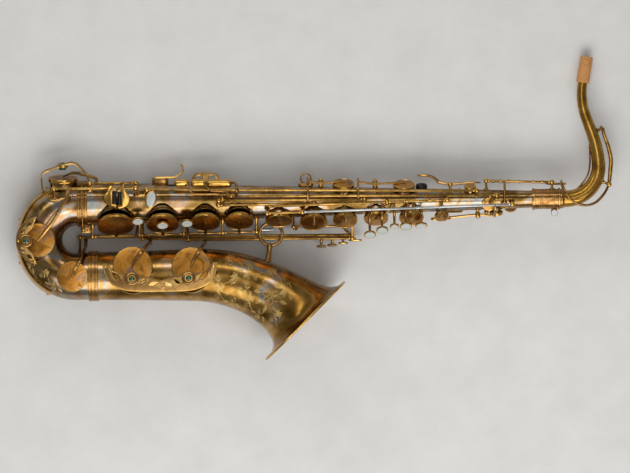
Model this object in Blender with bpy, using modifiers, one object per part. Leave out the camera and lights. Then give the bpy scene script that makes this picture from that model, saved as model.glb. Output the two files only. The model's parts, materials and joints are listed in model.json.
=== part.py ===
"""A tenor saxophone lying on its left side, built from its separate pieces, in metres.

The horn has a frame of its own, the empty named horn: +X runs up the body tube to the neck, +Y points
at the player and +Z out of the player's right side. That empty then lays the horn on the three places
where it rests: the bell rim, the tip of the cork and the side of the bow."""
import bpy
import bmesh
from math import asin, atan, cos, log, pi, radians, sin
from mathutils import Matrix, Vector

MM = 0.001

# Body tube: a straight cone, wide at the bow, with so many stations up it that the keywork is placed by
BODY_LENGTH = 0.659
BODY_STATIONS = 659
BODY_FOOT_RADIUS = 0.0315
BODY_TOP_RADIUS = 0.0123
TUBE_WALL = 0.0012

# Bow and bell: the bow turns the tube back on itself, the bell flares out of it
BOW_RADIUS = 0.0525
BOW_STRAIGHT = 0.0105
BOW_END_RADIUS = 0.0345
BELL_STRAIGHT = 0.146
BELL_TURN_RADIUS = 0.223
BELL_TURN = radians(46)
BELL_RIM_RADIUS = 0.080
BELL_BEAD = 0.0020
FLARE_EDGE = 0.0015
FERRULE_WIDTH = 0.015
FERRULE_THICKNESS = 0.0022

# Receiver, neck and cork
RECEIVER_LENGTH = 0.035
RECEIVER_RADIUS = 0.0147
RECEIVER_BORE = 0.0128
NECK_TIP_RADIUS = 0.0070
NECK_WALL = 0.0010
NECK_TAPER = 1.4
NECK_LEAD = 0.009
NECK_BEND_RADIUS = 0.047
NECK_BEND = radians(93)
NECK_RISE_RADIUS = 0.160
NECK_RISE_TURN = radians(17)
NECK_RISE = 0.024
NECK_TIP_BEND_RADIUS = 0.097
NECK_TIP_BEND = radians(30)
EAR_REACH = 0.006
EAR_WIDTH = 0.009
EAR_THICKNESS = 0.0032
EAR_SPLIT = 0.002
SCREW_RADIUS = 0.0019
CORK_LENGTH = 0.038
CORK_BASE_RADIUS = 0.0095
CORK_TIP_RADIUS = 0.00885

# Tone holes and key cups
CHIMNEY_RISE = 0.0030
CHIMNEY_WALL = 0.0011
CUP_OVERLAP = 0.0035
CUP_SEAT = 0.0008
CUP_SKIRT = 0.0046
CUP_DOME = 0.0016
CUP_WALL = 0.0011

# Hinge tubes, posts, arms and touches
HINGE_RADIUS = 0.0024
POST_BALL = 0.0031
POST_STEM = 0.0018
POST_FOOT = 0.0032
ARM_RADIUS = 0.0023
ARM_TILT = radians(43)
WIRE_RADIUS = 0.0016
TOUCH_THICKNESS = 0.0022
PEARL_RADIUS = 0.0080
PEARL_HEIGHT = 0.0026
CLEARANCE = 0.0003
WELD = 0.00001
NECK_FOOT_RADIUS = RECEIVER_BORE - CLEARANCE
STATION = BODY_LENGTH / BODY_STATIONS

# Where the tone holes stand: station up the body tube, and cup diameter in millimetres
LOWER_STACK = {"d": (48, 54), "e": (116, 48), "f": (178, 44), "fsharp": (227, 42.5)}
UPPER_STACK = {"gsharp": (285, 40), "g": (335, 40), "a": (381, 36), "bis": (426, 36), "b": (477, 36),
               "c": (521, 21)}
LOWER_STACK_ANGLE = 42
UPPER_STACK_ANGLE = 25
STACK_OPENING = radians(9)
BELL_KEY_OPENING = radians(11)

# Heights above the body tube, in millimetres, of the hinge lines on its right side and of what bridges them
SIDE_RAIL = 8
HIGH_E_RAIL = 10
HIGH_FSHARP_RAIL = 13.5
OVER_RAILS = 21.5
OCTAVE_RAIL = 12.6

# Station of the octave arm's upper post, which stands on the neck receiver
OCTAVE_POST = 682

# Colour, roughness and metallic value of each finish
FINISHES = {
    "aged_brass": ((0.36, 0.23, 0.10), 0.34, 1.0),
    "key_brass": ((0.50, 0.33, 0.14), 0.28, 1.0),
    "steel": ((0.62, 0.62, 0.63), 0.22, 1.0),
    "cork": ((0.55, 0.38, 0.22), 0.85, 0.0),
    "pearl": ((0.86, 0.85, 0.80), 0.18, 0.0),
    "black_plastic": ((0.02, 0.02, 0.02), 0.35, 0.0),
}


def mm(*values):
    """A point given in millimetres."""
    return Vector(values) * MM


def at(x, y, z):
    """A point of the keywork: a station up the body tube, then millimetres towards the player and the right."""
    return Vector((x * STATION, y * MM, z * MM))


def clear_scene():
    """Removes what is in the file and makes the two collections."""
    for obj in list(bpy.data.objects):
        bpy.data.objects.remove(obj)
    parts = bpy.data.collections.new("tenor_saxophone")
    shop = bpy.data.collections.new("cutters")
    bpy.context.scene.collection.children.link(parts)
    bpy.context.scene.collection.children.link(shop)
    return parts, shop


PARTS, SHOP = clear_scene()


def shop_object(data):
    """A working object, in the collection of cutters until it becomes part of a piece."""
    obj = bpy.data.objects.new("work", data)
    obj.hide_render = True
    obj.display_type = "WIRE"
    SHOP.objects.link(obj)
    return obj


def from_bmesh(bm):
    """A working object that holds a bmesh."""
    mesh = bpy.data.meshes.new("work")
    bm.to_mesh(mesh)
    bm.free()
    return shop_object(mesh)


def baked(obj):
    """The evaluated and welded mesh of a working object, in place of that object."""
    graph = bpy.context.evaluated_depsgraph_get()
    mesh = bpy.data.meshes.new_from_object(obj.evaluated_get(graph))
    bm = bmesh.new()
    bm.from_mesh(mesh)
    bmesh.ops.remove_doubles(bm, verts=bm.verts, dist=WELD)
    bm.to_mesh(mesh)
    bm.free()
    bpy.data.objects.remove(obj)
    return shop_object(mesh)


def moved(obj, matrix):
    """The same working object with its mesh moved."""
    obj.data.transform(matrix)
    return obj


def facing(place, direction, along=(1, 0, 0)):
    """A frame at a place whose Z axis points in a direction, with X as near as it can to along."""
    up = Vector(direction).normalized()
    side = up.cross(Vector(along)).normalized()
    turn = Matrix((side.cross(up), side, up)).transposed().to_4x4()
    return Matrix.Translation(place) @ turn


def turned(profile, sides, loop=False):
    """A profile of (radius, height) points, top to bottom, turned about Z."""
    bm = bmesh.new()
    verts = [bm.verts.new((radius, 0, height)) for radius, height in profile]
    ends = verts[1:] + verts[:1] if loop else verts[1:]
    for first, second in zip(verts, ends):
        bm.edges.new((first, second))
    obj = from_bmesh(bm)
    screw = obj.modifiers.new("turn", "SCREW")
    screw.steps = sides
    screw.render_steps = sides
    screw.use_merge_vertices = True
    screw.merge_threshold = WELD
    return baked(obj)


def rod(start, end, radius, sides=8, end_radius=None):
    """A round bar, or a cone, between two points."""
    axis = end - start
    bm = bmesh.new()
    bmesh.ops.create_cone(bm, cap_ends=True, segments=sides, radius1=radius,
                          radius2=radius if end_radius is None else end_radius, depth=axis.length)
    turn = axis.to_track_quat("Z", "Y").to_matrix().to_4x4()
    return moved(from_bmesh(bm), Matrix.Translation((start + end) / 2) @ turn)


def swept(points, radii, sides=6, ring=False, tilt=0.0):
    """A round or square bar along points, with a radius at each of them."""
    curve = bpy.data.curves.new("work", "CURVE")
    curve.dimensions = "3D"
    curve.bevel_depth = 1
    curve.bevel_resolution = sides // 2 - 2
    curve.use_fill_caps = not ring
    spline = curve.splines.new("POLY")
    spline.points.add(len(points) - 1)
    spline.use_cyclic_u = ring
    for knot, place, radius in zip(spline.points, points, radii):
        knot.co = (*place, 1)
        knot.radius = radius
        knot.tilt = tilt
    return baked(shop_object(curve))


def wire(points, radius, sides=6, ring=False):
    """A wire of one thickness along points."""
    return swept(points, [radius] * len(points), sides, ring=ring)


def arm(points, thick=ARM_RADIUS, thin=0.8):
    """A key arm along points, thinner at its far end."""
    last = len(points) - 1
    return swept(points, [thick * (1 - (1 - thin) * i / last) for i in range(len(points))], 4,
                 tilt=ARM_TILT)


def plate(outline, thickness, frame, holes=()):
    """A flat plate of a closed outline, in the XY plane of a frame, half to each side of it."""
    curve = bpy.data.curves.new("work", "CURVE")
    curve.dimensions = "2D"
    curve.fill_mode = "BOTH"
    curve.extrude = thickness / 2
    for loop in (outline, *holes):
        spline = curve.splines.new("POLY")
        spline.points.add(len(loop) - 1)
        spline.use_cyclic_u = True
        for knot, (x, y) in zip(spline.points, loop):
            knot.co = (x, y, 0, 1)
    return moved(baked(shop_object(curve)), frame)


def arc(centre, radius, start, end, count):
    """Points along an arc in the XY plane, its angles in radians."""
    steps = [start + (end - start) * i / (count - 1) for i in range(count)]
    return [(centre[0] + radius * cos(a), centre[1] + radius * sin(a)) for a in steps]


def pill(length, width, count=5):
    """The outline of a plate with round ends, its length along X."""
    half = (length - width) / 2
    right = arc((half, 0), width / 2, -pi / 2, pi / 2, count)
    return right + arc((-half, 0), width / 2, pi / 2, 3 * pi / 2, count)


def joined(objects):
    """Working objects put in one mesh."""
    bm = bmesh.new()
    for obj in objects:
        bm.from_mesh(obj.data)
        bpy.data.objects.remove(obj)
    return from_bmesh(bm)


def combined(body, others, operation):
    """A solid with others joined to it or cut from it."""
    tool = joined(others)
    boolean = body.modifiers.new("combine", "BOOLEAN")
    boolean.operation = operation
    boolean.solver = "EXACT"
    boolean.use_self = True
    boolean.object = tool
    result = baked(body)
    bpy.data.objects.remove(tool)
    return result


def fused(body, *others):
    """Solids that overlap, joined into one body."""
    return combined(body, others, "UNION") if others else body


def cut(body, *others):
    """A solid with others cut out of it."""
    return combined(body, others, "DIFFERENCE")


def finished(obj, name, finish, parent, origin=Vector(), turn=Vector()):
    """The working object as a named piece, with its origin on the point that it turns about."""
    obj.data.transform(Matrix.Translation(-origin))
    obj.name = name
    obj.data.name = name
    obj.data.shade_smooth()
    obj.data.set_sharp_from_angle(angle=radians(35))
    colour, roughness, metallic = FINISHES[finish]
    material = bpy.data.materials.new(name)
    material.use_nodes = True
    shader = material.node_tree.nodes["Principled BSDF"]
    shader.inputs["Base Color"].default_value = (*colour, 1)
    shader.inputs["Roughness"].default_value = roughness
    shader.inputs["Metallic"].default_value = metallic
    obj.data.materials.clear()
    obj.data.materials.append(material)
    SHOP.objects.unlink(obj)
    PARTS.objects.link(obj)
    obj.hide_render = False
    obj.display_type = "TEXTURED"
    obj.parent = parent
    obj.location = origin
    obj.rotation_euler = turn
    return obj


def empty(name, matrix, parent=None):
    """An empty that carries pieces."""
    carrier = bpy.data.objects.new(name, None)
    PARTS.objects.link(carrier)
    carrier.parent = parent
    carrier.matrix_basis = matrix
    return carrier

# Places along the tubes, worked out from the driving dimensions
BOW_AXIS = Vector((-BOW_STRAIGHT, -BOW_RADIUS, 0))
BELL_AXIS_Y = -2 * BOW_RADIUS
BELL_START = 0.015
BELL_LENGTH = BELL_STRAIGHT + BELL_TURN_RADIUS * BELL_TURN
FLARE_POWER = log(BELL_RIM_RADIUS / BOW_END_RADIUS) / log(1 + BELL_LENGTH / FLARE_EDGE)
RIM_NORMAL = Vector((cos(BELL_TURN), -sin(BELL_TURN), 0))
RECEIVER_END = BODY_LENGTH + RECEIVER_LENGTH
BODY_SIDES = 24
BOW_SIDES = 16
BELL_SIDES = 24
BELL_RINGS = 12
NECK_SIDES = 12
PIVOT_STEP = 6
PIP_STEP = 11


def body_radius(x):
    """Outer radius of the body tube at a station."""
    return BODY_FOOT_RADIUS + (BODY_TOP_RADIUS - BODY_FOOT_RADIUS) * x / BODY_LENGTH


def bow_point(turn):
    """A point on the bow's centre line; the turn runs from 0 at the body to pi at the bell."""
    return BOW_AXIS + BOW_RADIUS * Vector((-sin(turn), cos(turn), 0))


def bow_radius(turn):
    """Outer radius of the bow, which widens evenly from the body to the bell."""
    return BODY_FOOT_RADIUS + (BOW_END_RADIUS - BODY_FOOT_RADIUS) * turn / pi


def bell_point(distance):
    """A point on the bell's centre line, by its distance from the rim along that line."""
    run = BELL_LENGTH - distance
    if run < BELL_STRAIGHT:
        return Vector((BELL_START + run, BELL_AXIS_Y, 0))
    turn = (run - BELL_STRAIGHT) / BELL_TURN_RADIUS
    return Vector((BELL_START + BELL_STRAIGHT + BELL_TURN_RADIUS * sin(turn),
                   BELL_AXIS_Y - BELL_TURN_RADIUS * (1 - cos(turn)), 0))


def bell_radius(distance):
    """Outer radius of the bell, which flares by a power of the distance from the rim."""
    return BELL_RIM_RADIUS * (1 + distance / FLARE_EDGE) ** -FLARE_POWER


def bell_ring(distance, radius):
    """A ring of the bell: its centre, its axis and a radius."""
    return bell_point(distance), bell_point(distance - WELD) - bell_point(distance + WELD), radius


def lofted(rings, sides, hollow=False):
    """A skin over rings, each a centre, an axis and a radius: capped, or with the last joined to the first."""
    bm = bmesh.new()
    loops = []
    for centre, axis, radius in rings:
        frame = facing(centre, axis, (0, 0, 1))
        loops.append([bm.verts.new(frame @ Vector((radius * cos(a), radius * sin(a), 0)))
                      for a in [2 * pi * i / sides for i in range(sides)]])
    for first, second in zip(loops, loops[1:] + loops[:1] if hollow else loops[1:]):
        for i in range(sides):
            bm.faces.new((first[i], first[i - 1], second[i - 1], second[i]))
    if not hollow:
        bm.faces.new(loops[0])
        bm.faces.new(loops[-1])
    bmesh.ops.recalc_face_normals(bm, faces=bm.faces)
    return from_bmesh(bm)


def body_solid(grow=0.0, past=0.0):
    """The body tube's cone, grown or shrunk, and run past its ends."""
    return rod(Vector((-past, 0, 0)), Vector((BODY_LENGTH + past, 0, 0)), body_radius(-past) + grow,
               BODY_SIDES, body_radius(BODY_LENGTH + past) + grow)


def bow_solid(grow=0.0, past=0.0):
    """The bow's round tube as a solid, grown or shrunk, and run past its ends."""
    turns = [pi * i / 10 for i in range(11)]
    start = Vector((past - CLEARANCE, 0, 0))
    end = Vector((BELL_START - CLEARANCE + past, BELL_AXIS_Y, 0))
    rings = [(bow_point(t), (-cos(t), -sin(t), 0), bow_radius(t) + grow) for t in turns]
    first = (start, (-1, 0, 0), bow_radius(0) + grow)
    last = (end, (1, 0, 0), bow_radius(pi) + grow)
    return lofted([first, *rings, last], BOW_SIDES)


def bell_distances():
    """Distances from the rim of the bell's rings, close together in the flare."""
    reach = 1 + BELL_LENGTH / FLARE_EDGE
    return [FLARE_EDGE * (reach ** (i / BELL_RINGS) - 1) for i in range(BELL_RINGS + 1)]


def bell_solid(grow=0.0):
    """The bell's outer form as a solid."""
    return lofted([bell_ring(d, bell_radius(d) + grow) for d in bell_distances()], BELL_SIDES)


def panel_matrix(angle):
    """A frame on the body cone: X runs up the cone, Z stands off it at an angle round from the front."""
    slope = atan((BODY_FOOT_RADIUS - BODY_TOP_RADIUS) / BODY_LENGTH)
    out = Vector((0, -cos(angle), sin(angle)))
    along = Vector((cos(slope), 0, 0)) - out * sin(slope)
    normal = out * cos(slope) + Vector((sin(slope), 0, 0))
    frame = Matrix((along, normal.cross(along), normal)).transposed().to_4x4()
    frame.translation = out * BODY_FOOT_RADIUS
    return frame


def sides_for(radius):
    """Facets round a cup or a chimney: more on a wide one."""
    return 10 if radius < 0.012 else 12 if radius < 0.0205 else 14 if radius < 0.0255 else 16


class ToneHole:
    """A chimney drawn out of a tube and the hole through it, in a frame on the tube's crest."""

    def __init__(self, frame, cup_diameter, depth):
        self.frame = frame
        self.cup_radius = cup_diameter * MM / 2
        self.hole_radius = self.cup_radius - CUP_OVERLAP
        self.depth = depth

    def drum(self, radius, top):
        """An upright cylinder from the middle of the tube up to a height above its crest."""
        bar = rod(Vector((0, 0, -self.depth)), Vector((0, 0, top)), radius, sides_for(self.cup_radius))
        return moved(bar, self.frame)

    def wall(self):
        return self.drum(self.hole_radius + CHIMNEY_WALL, CHIMNEY_RISE)

    def bore(self):
        return self.drum(self.hole_radius, CHIMNEY_RISE + CUP_SKIRT)


def body_hole(angle, station, cup_diameter):
    """A tone hole on the body tube."""
    frame = panel_matrix(angle) @ Matrix.Translation(at(station, 0, 0))
    return ToneHole(frame, cup_diameter, body_radius(station * STATION))


def drilled(tube, holes, bore):
    """A tube with its chimneys, its bore cleared and its tone holes cut."""
    tube = fused(tube, *[hole.wall() for hole in holes])
    tube = cut(tube, bore)
    return cut(tube, *[hole.bore() for hole in holes])


def post(ball, centre, radius):
    """A turned key post from a round tube out to a hinge line, with its ball on that line."""
    out = (ball - centre).normalized()
    height = (ball - centre).length - radius
    foot = 0.0012
    profile = [(0, height + POST_BALL), (0.87 * POST_BALL, height + 0.5 * POST_BALL),
               (0.87 * POST_BALL, height - 0.5 * POST_BALL), (POST_STEM, height - POST_BALL),
               (POST_FOOT, -foot), (0, -foot)]
    return moved(turned(profile, 6), facing(centre + out * radius, out))


def body_post(ball):
    """A post on the body tube."""
    return post(ball, Vector((ball.x, 0, 0)), body_radius(ball.x))


def band(start, end, inner, outer):
    """A plain ring about a tube that runs along X, from one station to another."""
    profile = [(outer, end), (outer, start), (inner, start), (inner, end)]
    return moved(turned(profile, BODY_SIDES, loop=True), facing(Vector(), (1, 0, 0), (0, 0, 1)))


def make_bow(horn, holes, posts):
    tube = fused(bow_solid(), *posts)
    return finished(drilled(tube, holes, bow_solid(-TUBE_WALL, TUBE_WALL)), "bow", "aged_brass", horn)


def make_bell(horn, holes):
    """The bell's flared sheet with its wall, its rolled rim and its two tone holes."""
    distances = bell_distances()
    outer = [(d, bell_radius(d)) for d in reversed(distances)]
    inner = []
    for distance, radius in reversed(outer):
        steep = FLARE_POWER * radius / (distance + FLARE_EDGE)
        lean = atan(steep)
        inner.append((distance - TUBE_WALL * sin(lean), radius - TUBE_WALL * cos(lean)))
    inner[-1] = (distances[-1], outer[0][1] - TUBE_WALL)
    roll = [(BELL_BEAD, BELL_RIM_RADIUS + 0.4 * BELL_BEAD), (-0.4 * BELL_BEAD, BELL_RIM_RADIUS + BELL_BEAD),
            (-1.6 * BELL_BEAD, BELL_RIM_RADIUS + 0.3 * BELL_BEAD)]
    rings = [bell_ring(*ring) for ring in outer[:-1] + roll + inner]
    shell = lofted(rings, BELL_SIDES, hollow=True)
    bore = lofted([bell_ring(d, bell_radius(d) - TUBE_WALL - CLEARANCE) for d in distances[-5:-1]],
                  BELL_SIDES)
    return finished(drilled(shell, holes, bore), "bell", "aged_brass", horn)


def make_ferrules(horn):
    """The two rings that cover the joints of the bow."""
    inner = BODY_FOOT_RADIUS + CLEARANCE
    half = FERRULE_WIDTH / 2
    ring = band(-half, half, inner, inner + FERRULE_THICKNESS)
    lug = rod(Vector((0, -inner - 0.004, 0.004)), Vector((0, -inner - 0.004, 0.013)), 0.0035)
    finished(fused(ring, lug), "body_bow_ferrule", "key_brass", horn)
    inner = BOW_END_RADIUS + CLEARANCE
    ring = band(BELL_START - half, BELL_START + half, inner, inner + FERRULE_THICKNESS)
    ring = moved(ring, Matrix.Translation((0, BELL_AXIS_Y, 0)))
    finished(ring, "bow_bell_ferrule", "key_brass", horn)


class Key:
    """One key, built closed out of its brazed limbs, in the frame of a panel on the body tube."""

    def __init__(self, name, carrier, line, turn=0.0, across=False):
        self.name = name
        self.carrier = carrier
        self.pivot = at(*line)
        self.turn = Vector((0, turn, 0)) if across else Vector((turn, 0, 0))
        self.across = across
        self.limbs = []

    def tube(self, start, end):
        """The hinge tube, between two places along the hinge line: stations, or millimetres across."""
        first, last = self.pivot.copy(), self.pivot.copy()
        slot, unit = (1, MM) if self.across else (0, STATION)
        first[slot], last[slot] = start * unit, end * unit
        self.limbs.append(rod(first, last, HINGE_RADIUS, 6))

    def cup(self, frame, diameter):
        """A domed pad cup that stands in a frame, open at its foot for the pad."""
        radius = diameter * MM / 2
        profile = [(0, CUP_SKIRT + CUP_DOME), (0.7 * radius, CUP_SKIRT + 0.6 * CUP_DOME),
                   (radius, CUP_SKIRT - CUP_WALL), (radius, 0), (radius - CUP_WALL, 0),
                   (radius - CUP_WALL, CUP_SKIRT - CUP_WALL), (0, CUP_SKIRT - CUP_WALL)]
        self.limbs.append(moved(turned(profile, sides_for(radius)), frame))

    def arm(self, *points, thick=ARM_RADIUS):
        """A tapering arm through points of the keywork."""
        self.limbs.append(arm([at(*point) for point in points], thick))

    def touch(self, outline, frame, thickness=TOUCH_THICKNESS):
        """A flat finger touch."""
        self.limbs.append(plate(outline, thickness, frame))

    def seat(self, place, radius=PEARL_RADIUS):
        """A round seat for a finger pearl, and the pearl that lies in it."""
        rim = radius + CLEARANCE + 0.0008
        inner = radius + CLEARANCE
        floor = 0.0014
        profile = [(0, floor), (inner, floor), (inner, 2 * floor), (rim, 2 * floor), (0.92 * rim, 0), (0, 0)]
        frame = Matrix.Translation(at(*place))
        self.limbs.append(moved(turned(profile, 10), frame))
        base = floor + CLEARANCE
        pearl = [(0, base + 0.7 * PEARL_HEIGHT), (0.6 * radius, base + 0.85 * PEARL_HEIGHT),
                 (radius, base + 0.8 * PEARL_HEIGHT), (radius, base), (0, base)]
        pearl = moved(turned(pearl, 10), frame)
        name = self.name.replace("_key", "_pearl")
        finished(pearl, name, "pearl", self.carrier, self.pivot, self.turn)

    def done(self, finish="key_brass"):
        """The limbs brazed into one piece that turns about the hinge line."""
        return finished(fused(*self.limbs), self.name, finish, self.carrier, self.pivot, self.turn)


def swing(station, degrees, above):
    """A point in a panel's frame, swung round the body tube by degrees, at a height above it."""
    reach = body_radius(station * STATION) / MM
    angle = radians(degrees)
    return (station, (reach + above) * sin(angle), (reach + above) * cos(angle) - reach)


def seat_frame(station, degrees=0.0):
    """The frame of a closed cup's foot on the body tube, just above its chimney."""
    rise = (CHIMNEY_RISE + CUP_SEAT) / MM
    angle = radians(degrees)
    return facing(at(*swing(station, degrees, rise)), (0, sin(angle), cos(angle)))


class Panel:
    """A strip of the body tube at one angle, with the empty that carries its keys."""

    def __init__(self, name, degrees, horn):
        self.matrix = panel_matrix(radians(degrees))
        self.degrees = degrees
        self.carrier = empty(name, self.matrix, horn)

    def post(self, *place):
        """A post on the body tube whose ball is at a place in the panel."""
        return body_post(self.matrix @ at(*place))

    def hole(self, station, diameter, degrees=0.0):
        """A tone hole in the panel, or swung round from it."""
        return body_hole(radians(self.degrees + degrees), station, diameter)


POST_GAP = POST_BALL * 0.85 + CLEARANCE
POST_END = POST_GAP / STATION
CUP_TOP = (CHIMNEY_RISE + CUP_SEAT + CUP_SKIRT) / MM + 1.6


def make_lower_stack(horn):
    """The D, E, F and F sharp keys, hinged in front of their cups."""
    panel = Panel("lower_stack", LOWER_STACK_ANGLE, horn)
    across, height = -32.6, 4.4
    stations = [14, 82, 146.5, 203, 252]
    pearls = {"d": (80.5, 20), "e": (116, 7), "f": (151.5, 10)}
    for name, start, end in zip(LOWER_STACK, stations, stations[1:]):
        station, diameter = LOWER_STACK[name]
        key = Key(name + "_key", panel.carrier, (start, across, height), STACK_OPENING)
        key.tube(start + POST_END, end - POST_END)
        key.cup(seat_frame(station), diameter)
        key.arm((station, across, height), (station, across + 4, 9), (station, -18, CUP_TOP + 1.5),
                (station, 0, CUP_TOP - 0.5))
        if name in pearls:
            x, y = pearls[name]
            foot = min(max(x, start + POST_END + 3), end - POST_END - 3)
            key.arm((foot, across, height), (foot, across + 4, 9), (x, y - 12, 12), (x, y, 11.4))
            key.seat((x, y, 12))
        key.done()
    posts = [panel.post(station, across, height) for station in stations]
    return posts, [panel.hole(*hole) for hole in LOWER_STACK.values()]


def make_upper_stack(horn):
    """The keys from G sharp to C, on two hinge lines, one above the other."""
    panel = Panel("upper_stack", UPPER_STACK_ANGLE, horn)
    gold, steel = (30, -2), (30, 9)
    end = POST_END

    def key(name, line, start, finish, opening=STACK_OPENING):
        made = Key(name + "_key", panel.carrier, (start, *line), -opening)
        made.tube(start, finish)
        return made

    def cup(made, name, foot, line):
        station, diameter = UPPER_STACK[name]
        y, z = line
        made.cup(seat_frame(station), diameter)
        made.arm((foot, y, z), (foot, y - 6, z + 3), ((foot + station) / 2, 15, CUP_TOP - 1.5),
                 (station, 0, CUP_TOP - 0.5))

    def pearl(made, foot, line, x, y, z, radius=PEARL_RADIUS):
        made.arm((foot, *line), (foot, line[0] - 6.5, line[1] + 3), (x, line[0] - 9, z - 6), (x, 8, z - 0.6),
                 (x, y, z - 0.6))
        made.seat((x, y, z), radius)

    gsharp = key("gsharp", steel, 268 + end, 319 - end, 0.0)
    cup(gsharp, "gsharp", 285, steel)
    gsharp.done()
    g = key("g", steel, 319 + end, 486)
    cup(g, "g", 335, steel)
    pearl(g, 419, steel, 416, -8, 25)
    g.done("steel")
    a = key("a", gold, 268 + end, 442 - end)
    cup(a, "a", 381, gold)
    pearl(a, 436, gold, 434, -5, 21)
    a.done()
    bis = key("bis", gold, 442 + end, 469, radians(6))
    cup(bis, "bis", 448, gold)
    pearl(bis, 452, gold, 452, -4, 17, 0.0058)
    bis.done()
    b = key("b", gold, 469 + CLEARANCE / STATION, 504)
    cup(b, "b", 480, gold)
    pearl(b, 472, gold, 468.6, -3, 17)
    b.done()
    c = key("c", gold, 504 + CLEARANCE / STATION, 529 - end)
    cup(c, "c", 521, gold)
    c.done()
    front = key("front_f", steel, 486 + CLEARANCE / STATION, 623 - end, 0.0)
    pearl(front, 492, steel, 491, -3, 20)
    front.arm((598, *steel), (598, 24, 15), (598, 12, 16), (598, 2, 14))
    front.done()
    places = [(268, *steel), (319, *steel), (623, *steel), (442, *gold), (529, *gold)]
    shared = rod(panel.matrix @ at(268, *steel), panel.matrix @ at(268, gold[0], gold[1] - 1), HINGE_RADIUS, 6)
    posts = [shared] + [panel.post(*place) for place in places]
    return posts, [panel.hole(*hole) for hole in UPPER_STACK.values()]


def rocker(name, panel, hinge, station, diameter, tail, height=8.0):
    """A key that rocks on a short hinge across the tube, with its cup up the tube from it."""
    key = Key(name, panel.carrier, (hinge, 0, height), across=True)
    half = 5
    key.tube(-half, half)
    if diameter:
        key.cup(seat_frame(station), diameter)
    key.arm((station, 0, CUP_TOP - 0.3), (hinge, 0, height), (tail, 0, height + 3), thick=0.0024)
    side = half + POST_GAP / MM
    posts = [panel.post(hinge, side, height), panel.post(hinge, -side, height)]
    holes = [panel.hole(station, diameter)] if diameter else []
    return key, posts, holes


def make_palm_keys(horn):
    """The three keys that the left palm opens: a pear-shaped touch on a lever to a small cup."""
    posts, holes = [], []
    for name, degrees, hinge, station, tail in (("high_f_key", -14, 574, 601, 526),
                                                ("palm_eb_key", -60, 587, 622, 545),
                                                ("palm_d_key", -104, 548, 576, 492)):
        panel = Panel(name + "_panel", degrees, horn)
        key, stands, bores = rocker(name, panel, hinge, station, 20, tail)
        key.touch(pill(0.030, 0.012), Matrix.Translation(at(tail - 6, 0, 11.2)), 0.0030)
        key.done()
        posts += stands
        holes += bores
    return posts, holes


def make_side_keys(horn):
    """The side Bb and side C cups, each pushed open by a long lever with a touch for the right hand."""
    posts, holes = [], []
    for note, degrees, hinge, station, bar, touch, clear in (("bb", 83, 346, 379, 327, 145, (9, 14)),
                                                             ("c", 94, 425, 467, 400, 169, (4, 18))):
        cups = Panel("side_" + note + "_panel", 155, horn)
        key, stands, bores = rocker("side_" + note + "_key", cups, hinge, station, 32, bar)
        key.limbs.append(rod(at(bar, -10, 11), at(bar, 10, 11), WIRE_RADIUS, 6))
        key.done()
        rail = Panel("side_" + note + "_rail", degrees, horn)
        round_to_bar, round_to_touch = 137 - degrees, 135 - degrees
        lever = Key("side_" + note + "_lever", rail.carrier, (202, 0, SIDE_RAIL))
        lever.tube(198 + POST_END, bar + 9 - POST_END)
        lever.arm(swing(bar, 0, SIDE_RAIL), swing(bar, *clear), swing(bar, round_to_bar / 2, OVER_RAILS),
                  swing(bar, round_to_bar - 4, OVER_RAILS), swing(bar, round_to_bar, 17), thick=0.0018)
        lever.arm(swing(207, 0, SIDE_RAIL), swing(204, 4, 16), swing(192, 14, OVER_RAILS + 1),
                  swing(touch + 9, 28, OVER_RAILS + 1), swing(touch + 6, round_to_touch - 8, 17),
                  swing(touch, round_to_touch, 13), thick=0.0018)
        angle = radians(round_to_touch)
        lever.touch(pill(0.021, 0.013), facing(at(*swing(touch, round_to_touch, 13)),
                                               (0, sin(angle), cos(angle))))
        lever.done()
        posts += stands + [rail.post(198, 0, SIDE_RAIL), rail.post(bar + 9, 0, SIDE_RAIL)]
        holes += bores
    return posts, holes


def make_high_keys(horn):
    """The high E and high F sharp keys, whose long tubes run up the player's right side."""
    rail = Panel("high_e_rail", 104, horn)
    height = HIGH_E_RAIL
    key = Key("high_e_key", rail.carrier, (212, 0, height))
    key.tube(212 + POST_END, 601 - POST_END)
    key.cup(seat_frame(590, -32), 20)
    key.arm(swing(592, 0, height), swing(592, -14, height + 1), swing(590, -32, CUP_TOP - 0.3))
    key.arm(swing(224, 0, height), swing(224, 8, OVER_RAILS), swing(222, 22, OVER_RAILS), swing(212, 31, 15),
            swing(199, 31, 13))
    angle = radians(31)
    key.touch(pill(0.035, 0.013), facing(at(*swing(199, 31, 13)), (0, sin(angle), cos(angle))))
    key.done()
    posts = [rail.post(212, 0, height), rail.post(601, 0, height)]
    holes = [rail.hole(590, 20, -32)]
    rail = Panel("high_fsharp_rail", 117, horn)
    height = HIGH_FSHARP_RAIL
    key = Key("high_fsharp_key", rail.carrier, (94, 0, height))
    key.tube(94 + POST_END, 572 - POST_END)
    key.cup(seat_frame(563, 35), 17)
    key.arm(swing(565, 0, height), swing(565, 16, 13), swing(563, 35, CUP_TOP - 0.3))
    key.arm(swing(103, 0, height), swing(102, -6, 11.2), swing(100, -14, 11), swing(100, -20, 11.5))
    angle = radians(-20)
    frame = facing(at(*swing(100, -20, 13)), (0, sin(angle), cos(angle))) @ Matrix.Rotation(1.34, 4, "Z")
    key.touch(pill(0.025, 0.0145), frame)
    lift = Matrix.Translation((0, 0, TOUCH_THICKNESS / 2 + CLEARANCE + 0.001))
    shell = plate(pill(0.023, 0.0125), 0.002, frame @ lift)
    finished(shell, "high_fsharp_pearl", "pearl", rail.carrier, key.pivot, key.turn)
    key.done()
    posts += [rail.post(94, 0, height), rail.post(572, 0, height)]
    return posts, holes + [rail.hole(563, 17, 35)]


def upright(centre, radius):
    """A frame on a tube's right side, straight above a point of its centre line."""
    return facing(centre + Vector((0, 0, radius)), (0, 0, 1))


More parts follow.
